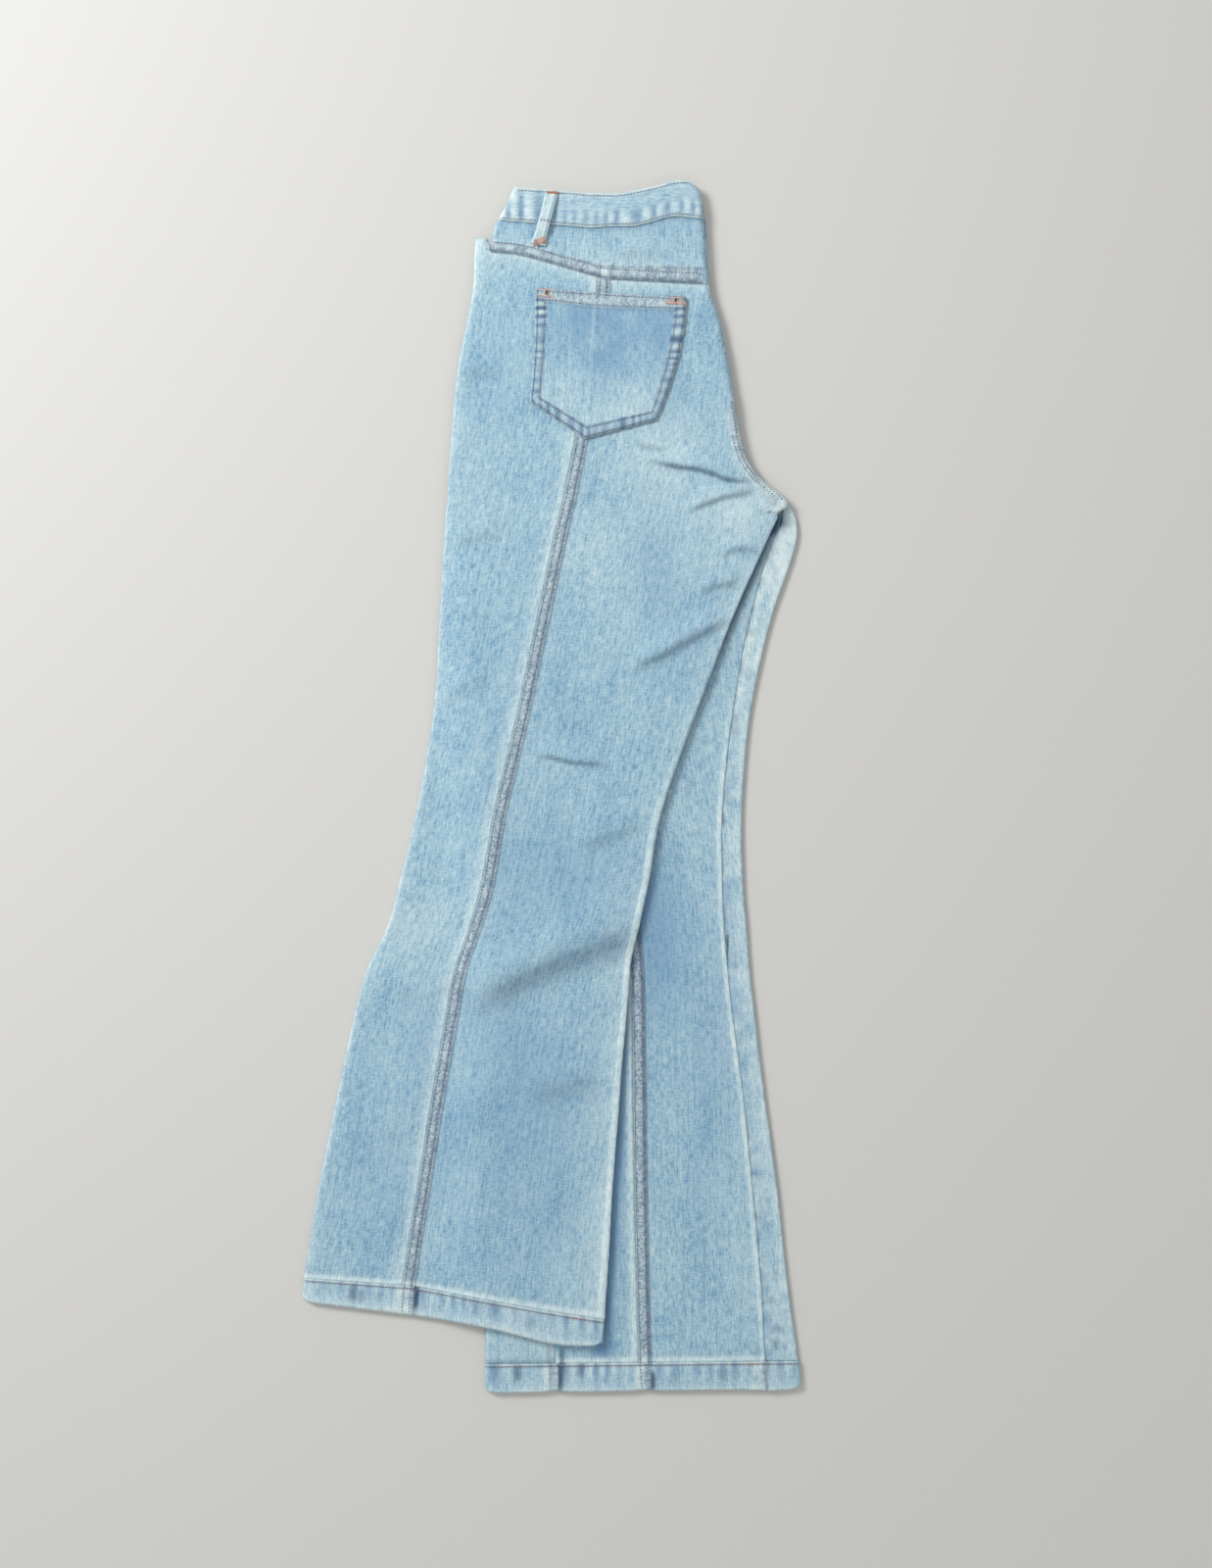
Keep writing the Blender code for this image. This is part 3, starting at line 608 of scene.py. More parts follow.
def denimMaterial(name, look):
    # Cotton denim, indigo warp over white weft, stone washed: pale worn high spots, blue in the hollows, and
    # painted shade laid on from the alpha of the point tones
    material, tree, shader = newMaterial(name, {"Roughness": 0.88, "Sheen Weight": 0.12,
                                                "Sheen Roughness": 0.5, "Specular IOR Level": 0.22})
    uv = addNode(tree, "ShaderNodeUVMap", {"uv_map": "cloth"}).outputs["UV"]

    def pattern(across, along, detail, rough):  # uneven values with the given size in millimetres
        scale = {"Scale": (1000 / across, 1000 / along, 1)}
        scaled = addNode(tree, "ShaderNodeMapping", scale, {"Vector": uv})
        noise = {"noise_dimensions": "2D", "Scale": 1.0, "Detail": detail, "Roughness": rough}
        return addNode(tree, "ShaderNodeTexNoise", noise, {"Vector": scaled.outputs[0]}).outputs[0]

    slub = pattern(look["slubAcross"], look["slubAlong"], 3.0, 0.65)
    streak = pattern(look["streakAcross"], look["streakAlong"], 2.0, 0.5)
    weft = pattern(look["weftAcross"], look["weftAlong"], 2.0, 0.5)
    marble = pattern(look["marble"], look["marble"] * 1.5, 3.0, 0.55)
    patch = pattern(look["patch"], look["patch"] * 1.4, 2.0, 0.5)
    speck = pattern(look["speck"], look["speck"], 1.0, 0.5)

    def weighed(parts, offset):  # a sum of patterns
        total = None
        for source, weight in parts:
            scaled = addNode(tree, "ShaderNodeMath", {"operation": "MULTIPLY_ADD", 1: weight}, {0: source})
            if total is None:
                scaled.inputs[2].default_value = offset
            else:
                tree.links.new(total, scaled.inputs[2])
            total = scaled.outputs[0]
        return total

    tone = weighed([(slub, 1.45), (streak, 0.5), (weft, 0.7), (marble, 0.4), (patch, 0.42)], -1.235)
    bandTone = weighed([(speck, 1.9), (slub, 0.5), (marble, 0.8)], -1.1)
    uneven = weighed([(marble, 0.6), (slub, 0.8)], 0.32)
    relief = weighed([(slub, 0.5), (weft, 0.35), (marble, 0.2)], 0.0)
    wearAndShade = addNode(tree, "ShaderNodeAttribute", {"attribute_name": "wearAndShade"})
    channels = addNode(tree, "ShaderNodeSeparateColor", links={"Color": wearAndShade.outputs["Color"]})
    pale, deep, band = channels.outputs

    def amount(channel, gain):  # the pale, deep and band tones break up with the grain of the cloth
        product = {"operation": "MULTIPLY", "use_clamp": True}
        broken = addNode(tree, "ShaderNodeMath", product, {0: channel, 1: uneven}).outputs[0]
        return addNode(tree, "ShaderNodeMath", {**product, 1: gain}, {0: broken}).outputs[0]

    darkest, middle, lightest = 0.08, 0.5, 0.95
    washed = ramp(tree, tone, (darkest, look["dark"]), (middle, look["middle"]), (lightest, look["light"]))
    worn = ramp(tree, tone, (darkest, look["paleLow"]), (lightest, look["paleHigh"]))
    doubled = ramp(tree, bandTone, (darkest, look["bandLow"]), (lightest, look["bandHigh"]))
    colour = blended(tree, amount(deep, 1.0), washed, hexColour(look["deep"]))
    colour = blended(tree, amount(band, 0.75), colour, doubled)
    colour = blended(tree, amount(pale, 1.0), colour, worn)
    # painted shade: the alpha channel lays the shade colour over creases, gaps, stitch grooves and the cloth
    # beside the right leg
    colour = blended(tree, wearAndShade.outputs["Alpha"], colour, hexColour(look["shade"]))
    tree.links.new(colour, shader.inputs["Base Color"])
    bump = addNode(tree, "ShaderNodeBump", {"Strength": 0.55, "Distance": 0.0006}, {"Height": relief})
    tree.links.new(bump.outputs[0], shader.inputs["Normal"])
    return material


def mottledMaterial(name, finish, light, dark, size, detail, spread):  # two colours in specks of one size
    material, tree, shader = newMaterial(name, finish)
    place = addNode(tree, "ShaderNodeTexCoord").outputs["Object"]
    noise = addNode(tree, "ShaderNodeTexNoise", {"Scale": 1000 / size, "Detail": detail}, {"Vector": place})
    colour = ramp(tree, noise.outputs[0], (0.5 - spread, dark), (0.5 + spread, light))
    tree.links.new(colour, shader.inputs["Base Color"])
    return material


def threadMaterial(name, light, dark, size):
    # Spun polyester topstitching thread, faded by the wash: soft, slightly uneven in colour
    return mottledMaterial(name, {"Roughness": 0.7, "Sheen Weight": 0.1}, light, dark, size, 2.0, 0.14)


denim = denimMaterial("washed cotton denim", denimLook)
reverse = {"dark": "#9DB1BE", "middle": "#B7C6CC", "light": "#CFD9DA"}  # the weft side is whiter
insideDenim = denimMaterial("wrong side of the denim", {**denimLook, **reverse})
seamThread = threadMaterial("faded grey polyester thread", "#8B909E", "#515C6D", 4.0)
hemThread = threadMaterial("faded mauve polyester thread", "#978389", "#6C5C66", 7.0)
rustThread = threadMaterial("rust polyester thread", "#C98A63", "#9A5B3C", 3.0)
tackThread = threadMaterial("faded brown polyester thread", "#DDC0B4", "#B4968A", 4.0)
print("materials made")


def newPiece(name, shape, *materials):  # a finished bmesh becomes an object of the scene
    data = bpy.data.meshes.new(name)
    shape.to_mesh(data)
    shape.free()
    for material in materials:
        data.materials.append(material)
    data.shade_smooth()
    piece = bpy.data.objects.new(name, data)
    bpy.context.scene.collection.objects.link(piece)
    return piece


def gridObject(name, points, uv, wearAndShade, wall, closed=False, outsideUp=True):  # cloth through rows of points
    rows, columns = points.shape[:2]
    shape = bmesh.new()
    bmesh.ops.create_grid(shape, x_segments=columns - 1, y_segments=rows - 1, size=0.5)
    piece = newPiece(name, shape, denim, insideDenim)
    data = piece.data
    start = np.empty(len(data.vertices) * 3)
    data.vertices.foreach_get("co", start)
    start = start.reshape(-1, 3)
    column = np.rint((start[:, 0] + 0.5) * (columns - 1)).astype(int)
    row = np.rint((0.5 - start[:, 1]) * (rows - 1)).astype(int)
    data.vertices.foreach_set("co", points[row, column].ravel())
    corner = np.empty(len(data.loops), int)
    data.loops.foreach_get("vertex_index", corner)
    layer = data.uv_layers.new(name="cloth")
    layer.data.foreach_set("uv", uv[row, column][corner].ravel())
    # per point: pale wear, deep blue, the doubled band, and painted shade in the alpha
    tone = data.attributes.new("wearAndShade", "FLOAT_COLOR", "POINT")
    tone.data.foreach_set("color", wearAndShade[row, column].ravel())
    data.update()
    if closed:
        shape = bmesh.new()
        shape.from_mesh(data)
        bmesh.ops.remove_doubles(shape, verts=shape.verts, dist=0.00001)
        shape.to_mesh(data)
        shape.free()
    shown = [face for face in data.polygons if abs(face.normal.z) > 0.9]
    highest = max(shown, key=lambda face: face.center.z if outsideUp else -face.center.z)
    if (highest.normal.z > 0) != outsideUp:
        data.flip_normals()
    thickness = piece.modifiers.new("cloth thickness", "SOLIDIFY")
    thickness.material_offset = 1
    thickness.thickness = wall * mm
    thickness.offset = 0.0
    return piece


def outward(x, z, up):  # unit normals of the cross sections, on the side that shows
    alongX, alongZ = np.gradient(x, axis=1), np.gradient(z, axis=1)
    length = np.maximum(np.hypot(alongX, alongZ), 1e-6)
    normal = np.stack((-alongZ / length, alongX / length))
    facing = np.sign(normal[1][:, x.shape[1] // 2][:, None]) * up
    return normal * np.where(facing == 0, 1, facing)


# how each panel lies: its course, side, first and last place, outside up or down, and its grid
panelRows = (
    ("back_outer_right", backOuterRight, "right", yokeAt, rightHem, 1, "shown"),
    ("back_inner_right", backInnerRight, "right", yokeAt, rightHem, 1, "shown"),
    ("yoke_right", yokeRight, "right", bandAt, yokeAt, 1, "small"),
    ("front_outer_right", frontOuterRight, "right", bandAt, rightHem, -1, "hidden"),
    ("front_inner_right", frontInnerRight, "right", bandAt, rightHem, -1, "hidden"),
    ("hem_right", hemRight, "right", rightHem, rightHem + 1, 1, "small"),
    ("front_outer_left", frontOuterLeft, "left", bandAt, leftHem, 1, "shown"),
    ("front_inner_left", frontInnerLeft, "left", bandAt, leftHem, 1, "shown"),
    ("back_outer_left", backOuterLeft, "left", yokeAt, leftHem, -1, "hidden"),
    ("back_inner_left", backInnerLeft, "left", yokeAt, leftHem, -1, "edge"),
    ("yoke_left", yokeLeft, "left", bandAt, yokeAt, -1, "hidden"),
    ("hem_left", hemLeft, "left", leftHem, leftHem + 1, 1, "small"),
    ("waistband", waistband, "right", 0, bandAt, 1, "small"),
)

# large uneven tones: x, down, half width, half length, pale, deep; the pale ones are fades of the wash, the
# deep ones partly the wash and partly painted shade in dips and beside the right leg
toneRows = (
    (100, 250, 34, 46, 0.40, 0.0),
    (70, 330, 50, 70, 0.20, 0.0),
    (150, 300, 22, 22, 0.25, 0.0),
    (-30, 500, 70, 120, 0.0, 0.08),
    (20, 640, 62, 46, 0.0, 0.24),
    (176, 304, 30, 34, 0.42, 0.0),
    (165, 380, 20, 40, 0.16, 0.0),
    (214, 340, 14, 60, 0.3, 0.0),
    (-60, 290, 24, 60, 0.12, 0.0),
    (-130, 690, 40, 40, 0.22, 0.0),
    (-20, 840, 60, 80, 0.0, 0.30),
    (-150, 900, 60, 90, 0.0, 0.14),
    (-20, 960, 70, 60, 0.0, 0.14),
    (-110, 770, 30, 40, 0.0, 0.14),
    (102, 706, 24, 62, 0.0, 0.38),
    (128, 560, 16, 60, 0.12, 0.0),
    (150, 800, 30, 120, 0.0, 0.22),
    (108, 200, 22, 30, 0.0, 0.20),
    (-60, 180, 40, 60, 0.0, 0.12),
    (96, 356, 22, 58, 0.0, 0.26),
    (130, 430, 26, 40, 0.0, 0.12),
)
# dark patches in the hems, and painted shade in the gaps beside their seams and in the hollow and notch at
# the fork: piece, x, down, half width, half length, shade
spotRows = (
    ("hem_right", -184, 1023, 4.0, 7.0, 0.58),
    ("hem_right", -176, 1026, 3.0, 6.0, 0.38),
    ("hem_right", -160, 1027, 3.0, 5.0, 0.2),
    ("hem_right", -125.5, 1027, 2.6, 11.0, 0.95),
    ("hem_right", -125.2, 1020, 2.2, 6.0, 0.6),
    ("hem_right", -68, 1036, 4.0, 7.0, 0.22),
    ("hem_right", -20, 1048, 5.0, 7.0, 0.25),
    ("hem_left", 8.5, 1098, 2.4, 14.0, 0.9),
    ("hem_left", -1.5, 1098, 1.6, 14.0, 0.42),
    ("back_outer_left", -1.5, 1080, 1.4, 10.0, 0.35),
    ("hem_left", -32, 1097, 4.0, 7.0, 0.55),
    ("hem_left", 25, 1094, 4.0, 6.0, 0.4),
    ("hem_left", 92.5, 1104, 2.4, 9.0, 0.95),
    ("hem_left", 112, 1100, 4.0, 7.0, 0.22),
    ("hem_left", 157, 1098, 5.0, 7.0, 0.25),
    ("front_outer_left", 8.5, 1082, 2.4, 9.0, 0.75),
    ("back_inner_left", 213, 313, 9.0, 5.5, 0.45),
    ("front_inner_left", 205, 317, 6.0, 9.0, 0.5),
    ("back_inner_left", 157.8, 587, 1.2, 8.0, 0.5),
    ("back_inner_left", 161.4, 706, 1.2, 14.0, 0.75),
    ("back_inner_right", 199.5, 304.5, 1.6, 2.2, 0.6),
    ("back_inner_left", 207, 1056, 3.0, 4.0, 0.35),
    ("back_inner_left", 206, 1070, 3.0, 5.0, 0.45),
    ("back_inner_left", 203, 1030, 3.0, 4.0, 0.3),
)
rightPlaces = np.linspace(forkAt, len(rightRows) - 1, 60)
rightSection = readRows(rightNames, rightRows, rightPlaces)
rightEdge = (rightSection["innerDown"][:, 0], rightSection["innerX"][:, 0])


# the wash's fades and patches, with painted shade among the deep ones
def washAndShadeTones(x, down):
    pale, deep = 0 * x, 0 * x
    for atX, atDown, halfX, halfDown, paleBy, deepBy in toneRows:
        spot = np.exp(-((x - atX) / halfX) ** 2 - ((down - atDown) / halfDown) ** 2)
        pale = pale + paleBy * spot
        deep = deep + deepBy * spot
    return pale, deep


legShade = {  # the shade beside the right leg: its places give a start and a run down the leg
    "hollow": 0.72,
    "hollowFrom": (296, 22),
    "hollowTo": (380, 110),
    "least": 0.1,
    "low": 0.12,
    "uneven": 0.24,
    "lowFrom": (600, 100),
    "reach": 3.4,
    "hollowReach": 1.8,
    "broad": 0.12,
    "broadReach": 15,
}


def besideRightLeg(panel):  # the shade that the right leg casts on the left one
    look = legShade
    beside = np.maximum(panel.fromLeg, 0)
    hollow = past(panel.down, *look["hollowFrom"]) * (1 - past(panel.down, *look["hollowTo"]))
    patchy = look["low"] + look["uneven"] * cloudy(0 * panel.x, panel.down, 23, 87)
    uneven = look["least"] + patchy * past(panel.down, *look["lowFrom"])
    close = np.exp(-(beside / (look["reach"] + look["hollowReach"] * hollow)) ** 1.4)
    return (look["hollow"] * hollow + uneven) * close + look["broad"] * np.exp(-beside / look["broadReach"])


# Each of the next functions gives the lift, the tones and the painted shade that one kind of panel has on
# top of the wash.
# Numbers inside bell, exp, past, puckers and cloudy are places, widths and sizes in millimetres, then seeds.
# Numbers in front of them are shares of a tone, or millimetres of lift.
sewing = {  # how far each row of stitching is from its seam
    "right": (1.8, 8.2),
    "left": (1.2, 9.2),
    "yoke": (2.0, 9.6),
}
centreBack = {  # the band down the centre back, its plump end at the fork, and the inseam's worn ridge
    "width": 8.5,
    "widens": (150, 100),
    "lobe": 6.0,
    "swells": (272, 12),
    "starts": (165, 60),
    "ends": (305, 2.5),
    "lobeX": 206,
    "lobeDown": 296,
    "rows": (1.6, 5.0),
    "worn": (520, 110),
    "paler": (880, 110),
}


def scaled(tones, by, **others):  # the same tones by one share, and some of them by another one too
    return {key: value * by * others.get(key, 1) for key, value in tones.items()}


def backInner(panel):  # its style seam, the centre back band with the lobe at its end, and the worn inseam
    yield felled(panel.x - panel.seamEdge, panel.along, cut["seamBand"], sewing["right"], 3)
    look, x, down, edge = centreBack, panel.x, panel.down, panel.innerX - panel.x
    width = look["width"] * past(down, *look["widens"]) + look["lobe"] * past(down, *look["swells"]) + 0.01
    band = felled(width - edge, panel.along, width, look["rows"], 5, halo=0.3, mottle=0.5)
    rounded = down + 0.25 * np.abs(x - look["lobeX"])
    ends = past(down, *look["starts"]) * (1 - past(rounded, *look["ends"]))
    yield scaled(band, ends, shade=0.5)
    plump = bell(x - look["lobeX"], 8) * bell(down - look["lobeDown"], 9)
    # painted shade under the lobe and along its inner edge
    below = bell(down - look["lobeDown"] - 9.5, 1.3) * bell(x - look["lobeX"] + 3, 7)
    inner = bell(width - edge + 0.4, 1.2) * bell(down - look["lobeDown"] - 1, 11)
    yield {"pale": 0.45 * band["band"] * ends, "lift": 0.9 * ends * plump}
    yield {"shade": 0.3 * below + 0.4 * inner}
    worn = past(down, *look["worn"])
    ridge = felled(cut["ridge"] - edge, panel.along, cut["ridge"], (), 5, pitch=13.0)
    yield scaled({"lift": 0.8 * ridge["lift"], "pale": 0.62 * ridge["band"] + 0.35 * ridge["pale"]},
                 panel.parted * worn)
    beside = np.exp(-edge / (10 + 5 * worn))
    yield {"pale": (0.25 + 0.38 * past(down, *look["paler"])) * beside * panel.parted}


backTab = {  # the tab of the right back that stands out beside the yoke
    "x": (-63, 1.5),
    "until": -55,
    "foot": (65, 1.5),
    "rows": ((63.2, 0.45), (56.0, 0.35)),
    "edge": 56.8,
    "edgeRun": 2.6,
    "places": 0.32,
    "top": 53.0,
    "fall": 36.0,
}


def backOuter(panel):  # pale beside the style seam and at the side's top, and the tab's turned edge
    beside, side = panel.seamEdge - panel.x, panel.x - panel.sideX
    yield {"lift": 0.16 * puckers(panel.along, 9.0, 3) * np.exp(-beside / 5)}
    yield {"pale": 0.68 * bell(beside, 7.5)}
    yield {"pale": 0.6 * np.exp(-side / 7) * (1 - past(panel.down, 85, 40))}
    onTop = (panel.x < backTab["until"]) * (panel.z > cut["layerRise"] * 2.5)
    tab = past(panel.x, *backTab["x"]) * (1 - past(panel.down, *backTab["foot"])) * onTop
    yield {"band": 0.8 * tab}
    for at, dark in backTab["rows"]:
        yield {"shade": tab * dark * bell(panel.down - at, 1.2)}


def belowYoke(panel):  # a pale rim, painted shade just under the yoke's edge, and the yoke seam's gathers running out below it
    yield {"pale": 0.72 * np.exp(-panel.along / 5.5), "shade": 0.3 * bell(panel.along - 0.3, 0.9),
           "lift": 0.15 * puckers(panel.x, 9.0, 9) * np.exp(-panel.along / 7)}


def aboveHem(panel):  # the cloth stands up pale where the hem is sewn on
    yield {"pale": 1.2 * bell(panel.last, 5.0), "shade": 0.12 * bell(panel.last - 7.2, 1.8),
           "lift": 0.4 * bell(panel.last - 2.2, 2.2)}


def sideEdge(panel):  # worn pale along the side fold
    yield {"pale": 0.45 * np.exp(-np.abs(panel.x - panel.sideX) / 4.5)}


def yokeBand(panel, seed):  # the felled seam at a yoke's foot
    width = cut["yokeBand"]
    return felled(width - panel.last, panel.x, width, sewing["yoke"], seed, halo=0.25, mottle=0.75)


def rightYoke(panel):  # its foot, the puffs below the waistband, and the joint with the style seam
    yield scaled(yokeBand(panel, 9), past(panel.innerX - panel.x, 4, 3))
    puff, below = puckers(panel.x, 11.0, 21), panel.along
    # painted shade under the waistband's edge, with deep blue there and in the puffs' hollows
    yield {"lift": 0.24 * puff * np.exp(-below / 5), "shade": 0.4 * np.exp(-below / 1.6),
           "deep": 0.35 * np.exp(-below / 5) + 0.35 * np.maximum(-puff, 0) * np.exp(-below / 7)}
    joint = bell(panel.x - 48, 5.5) * (panel.last < 13)  # where the style seam meets the yoke seam
    sides = (bell(panel.x - 43, 0.9) + bell(panel.x - 55.5, 1.6)) * (panel.last < 12.5)
    yield {"pale": 0.65 * joint + 0.1, "shade": 0.5 * sides}


def leftYoke(panel):  # it rests on the floor, so its seam is in the tones only
    yield scaled(yokeBand(panel, 53), 1, lift=0)


def frontInner(panel):  # its style seam, the pale ridge beside the inseam, and the right leg's shade
    into, ridge = panel.x - panel.seamEdge, np.maximum(panel.inseam - panel.x, 0)
    yield felled(into, panel.along, cut["seamBand"], sewing["left"], 13)
    yield {"pale": 0.35 * bell(into, 1.2),
           "shade": 0.28 * (0.6 + 0.4 * cloudy(panel.along, 0 * into, 9, 14)) * bell(into - 9.0, 1.7)}
    flat = (1 - past(ridge, 3.0, 2.5)) * past(ridge, -0.45, 0.9) * past(panel.down, 455, 60)
    flat = flat * (0.8 + 0.3 * cloudy(panel.x, panel.along, 11, 15))
    yield scaled({"pale": 0.7 * flat + 0.18 * np.exp(-ridge / 16), "lift": 0.4 * flat}, panel.parted)
    # painted shade beside the right leg: the cast shade, and a band of deep blue further down
    near = 0.2 * bell(panel.fromLeg, 26) + 0.5 * bell(panel.fromLeg, 7)
    yield {"shade": besideRightLeg(panel), "deep": near * past(panel.down, 600, 80)}


def frontOuter(panel):  # the pale ridge before the style seam, wider further down, and painted shade beside the right leg
    beside = panel.seamEdge - panel.x
    spread = 2.4 + 1.2 * past(panel.down, 760, 300)
    yield {"pale": 0.66 * bell(beside - 3.2, spread) + 0.1 * bell(beside, 12)}
    yield {"lift": 0.4 * bell(beside - 3.2, 3)}
    # painted shade beside the right leg, also in deep blue
    yield {"shade": besideRightLeg(panel) * (beside < 30), "deep": 0.75 * bell(panel.fromLeg, 9)}


def inseamStrip(panel):  # the left back's strip beyond the inseam, the only part of it on the upper side
    along, ridge = panel.along, np.maximum(panel.x - panel.inseam, 0)
    shown = (panel.z > cut["layerRise"]) * past(panel.v, forkAt, 1.2)
    dashes = np.maximum(0.2 + 0.4 * cloudy(along, 0 * ridge, 11, 91), 0) * bell(ridge - 0.6, 1.3)
    dots = np.maximum(cloudy(along, 0.5 * ridge, 7, 92), 0) * bell(ridge - 5, 3.5)
    blue = np.maximum(cloudy(along, 0.6 * ridge, 13, 93), 0) * np.exp(-ridge / 14)
    rims = 0.3 * bell(panel.x - panel.innerX, 6) + 0.25 * cloudy(along, ridge, 12, 94)
    upper = 0.35 * bell(ridge - 4.5, 3.5) * (1 - past(panel.down, 460, 60))
    upper = upper + 0.3 * (1 - past(panel.down, 360, 180))
    # its shade tones are the inseam's dark dashes and dots, and painted shade beside the right leg
    yield scaled({"lift": 0.3 * puckers(along, 12.0, 17) * np.exp(-ridge / 7) - 0.35 * np.exp(-ridge / 1.2),
                  "pale": 0.28 + rims + upper, "deep": 0.6 * blue,
                  "shade": dashes + 0.3 * dots + besideRightLeg(panel)}, shown)


def outseamStrip(panel):  # the left back's strip beyond the outseam, which shows beside the lower hem
    before = np.maximum(panel.outseam - panel.x, 0)
    yield scaled({"pale": 0.15 + 0.5 * bell(before - 3.5, 3.2), "band": 0.3 * bell(before - 3.5, 4.0),
                  "shade": 0.35 * (bell(before - 1.0, 0.8) + bell(before - 7.0, 1.0))},
                 1.0 * (panel.z > cut["layerRise"]))


def underside(panel):  # the left back's felled seam, on the face that rests
    into, under = panel.x - panel.back, 1.0 * (panel.z < cut["layerRise"])
    if panel.name == "back_inner_left":
        yield scaled(felled(into, panel.along, cut["seamBand"], sewing["right"], 51), under, lift=0)
    yield {"pale": 0.6 * under * np.exp(-np.abs(into) / 6)}


hemLook = {  # gathers along the seam, given by their pitch, sharpness, centre and spread, then tones; hollow, stitch and edgeStitch are painted shade in the gathers' hollows and along the stitch grooves
    "seed": 18,
    "pitch": 13.0,
    "sharp": 1.5,
    "at": 0.12,
    "spread": 0.5,
    "patchy": 0.5,
    "rise": 0.3,
    "base": 0.2,
    "pale": 0.4,
    "hollow": 0.3,
    "stitch": 0.68,
    "edgeStitch": 0.0,
    "edgeDip": 0.0,
    "besideLoop": 0.0,
}
bandLook = {  # the same values for the waistband
    "seed": 25,
    "pitch": 11.5,
    "sharp": 2.2,
    "at": 0.24,
    "spread": 0.19,
    "patchy": 0.3,
    "rise": 0.5,
    "base": 0.24,
    "pale": 0.7,
    "hollow": 0.4,
    "stitch": 0.4,
    "edgeStitch": 0.28,
    "edgeDip": 0.25,
    "besideLoop": 0.75,
}


def trim(panel):  # hems and waistband: gathers along the seam, rows of stitching and pale rims, with painted shade in the gathers' hollows and along the stitch grooves
    hemmed = panel.name != "waistband"
    look = hemLook if hemmed else bandLook
    edge, seam = (panel.last, panel.along) if hemmed else (panel.along, panel.last)
    share = seam / (edge + seam + 1e-6)
    wave = np.tanh(look["sharp"] * puckers(panel.x, look["pitch"], look["seed"]))
    wave = wave * np.where(panel.z > np.mean(panel.z), 1, 0.6)
    near = bell(share - look["at"], look["spread"])
    near = near + look["besideLoop"] * bell(share - 0.66, 0.26) * bell(panel.x + 22, 36)
    near = near * (0.85 + look["patchy"] * cloudy(panel.x, 0 * edge, 23.0, 77 if hemmed else 78))
    hollow, stitch, edgeStitch = np.maximum(-wave, 0), bell(seam - 2.2, 0.9), bell(edge - 2.4, 0.9)
    yield {"lift": look["rise"] * wave * near - 0.3 * stitch - look["edgeDip"] * edgeStitch,
           "pale": look["base"] + look["pale"] * np.maximum(wave, 0) * near,
           "deep": 0.95 * hollow * near + 0.08, "shade": look["hollow"] * hollow ** 2 * near}
    yield {"shade": look["stitch"] * stitch + look["edgeStitch"] * edgeStitch}
    yield {"pale": 0.7 * np.exp(-edge / 2.6) + 0.6 * np.exp(-seam / 1.8)}


hemSeams = {"hem_right": ((-138, 11.5),), "hem_left": ((-4, 10.0), (79.5, 11.0), (188, 9.0))}  # x and width


def acrossHem(panel):  # the leg's lengthwise seams go on through the hem
    for at, width in hemSeams[panel.name]:
        yield felled(panel.x - at, panel.along, width, (width - 2.5,), 19)
        yield {"pale": 0.45 * bell(panel.x - at - 2, 3.0)}


# painted shade in gaps and hollows, and dark patches of the hems, all in the shade colour, with the cloth
# lowered there
def spots(panel):
    for piece, atX, atDown, halfX, halfDown, dark in spotRows:
        if piece == panel.name:
            spot = np.exp(-((panel.x - atX) / halfX) ** 4 - ((panel.down - atDown) / halfDown) ** 4)
            yield {"shade": dark * spot * (panel.z > cut["wall"] * 1.5), "lift": -0.5 * dark * spot}


tonesOf = {  # what each panel has, the fronts of the right leg being hidden and plain
    "back_outer_right": (backOuter, belowYoke, aboveHem, sideEdge),
    "back_inner_right": (backInner, belowYoke, aboveHem, spots),
    "yoke_right": (rightYoke, sideEdge),
    "hem_right": (trim, sideEdge, acrossHem, spots),
    "front_outer_left": (frontOuter, aboveHem, spots),
    "front_inner_left": (frontInner, aboveHem, spots),
    "back_outer_left": (outseamStrip, underside, spots),
    "back_inner_left": (inseamStrip, underside, spots),
    "yoke_left": (leftYoke,),
    "hem_left": (trim, acrossHem, spots),
    "waistband": (trim, sideEdge),
}
topPanels = ("back_outer_right", "back_inner_right", "yoke_right")


def finish(name, here, x, down, z):  # how far a panel's points are lifted, the tones of its wash and its painted shade
    lift = waves(x, down, 11 if here.side == "right" else 31, 1.0 if name in topPanels else 0.5)
    shade = 0 * x
    if name in topPanels or name == "hem_right":
        # painted shade on the lower side of each crease
        ridges, hollows = creases(x, down)
        lift, shade = lift + ridges, hollows * (z > cut["layerRise"] * 1.5)
    pale, deep = washAndShadeTones(x, down)
    calmer = (0.45, 0.5) if trim in tonesOf.get(name, ()) else (1.0, 1.0)  # sewn double, so it waves less
    look = {"lift": calmer[0] * lift, "pale": calmer[1] * pale, "deep": calmer[1] * deep,
            "band": 0 * x, "shade": shade}
    along = lengthDown(here) + 0 * x
    panel = SimpleNamespace(name=name, x=x, down=down, z=z, along=along, last=along[-1:] - along,
                            fromLeg=x - np.interp(down, *rightEdge), **vars(here))
    for tones in tonesOf.get(name, ()):
        for part in tones(panel):
            for key, value in part.items():
                look[key] = look[key] + value
    rests = z < cut["wall"] * 1.05  # the underside rests flat
    look["lift"] = np.where(rests, 0, look["lift"])
    if name not in (*topPanels, "hem_right", "waistband"):  # these have another layer close above them
        look["lift"] = np.clip(look["lift"], -0.7, 0.9)
    # the fourth channel, painted shade, goes to the alpha
    wearAndShade = np.stack([np.clip(look[key], 0, 1) for key in ("pale", "deep", "band", "shade")], axis=-1)
    return look["lift"], wearAndShade


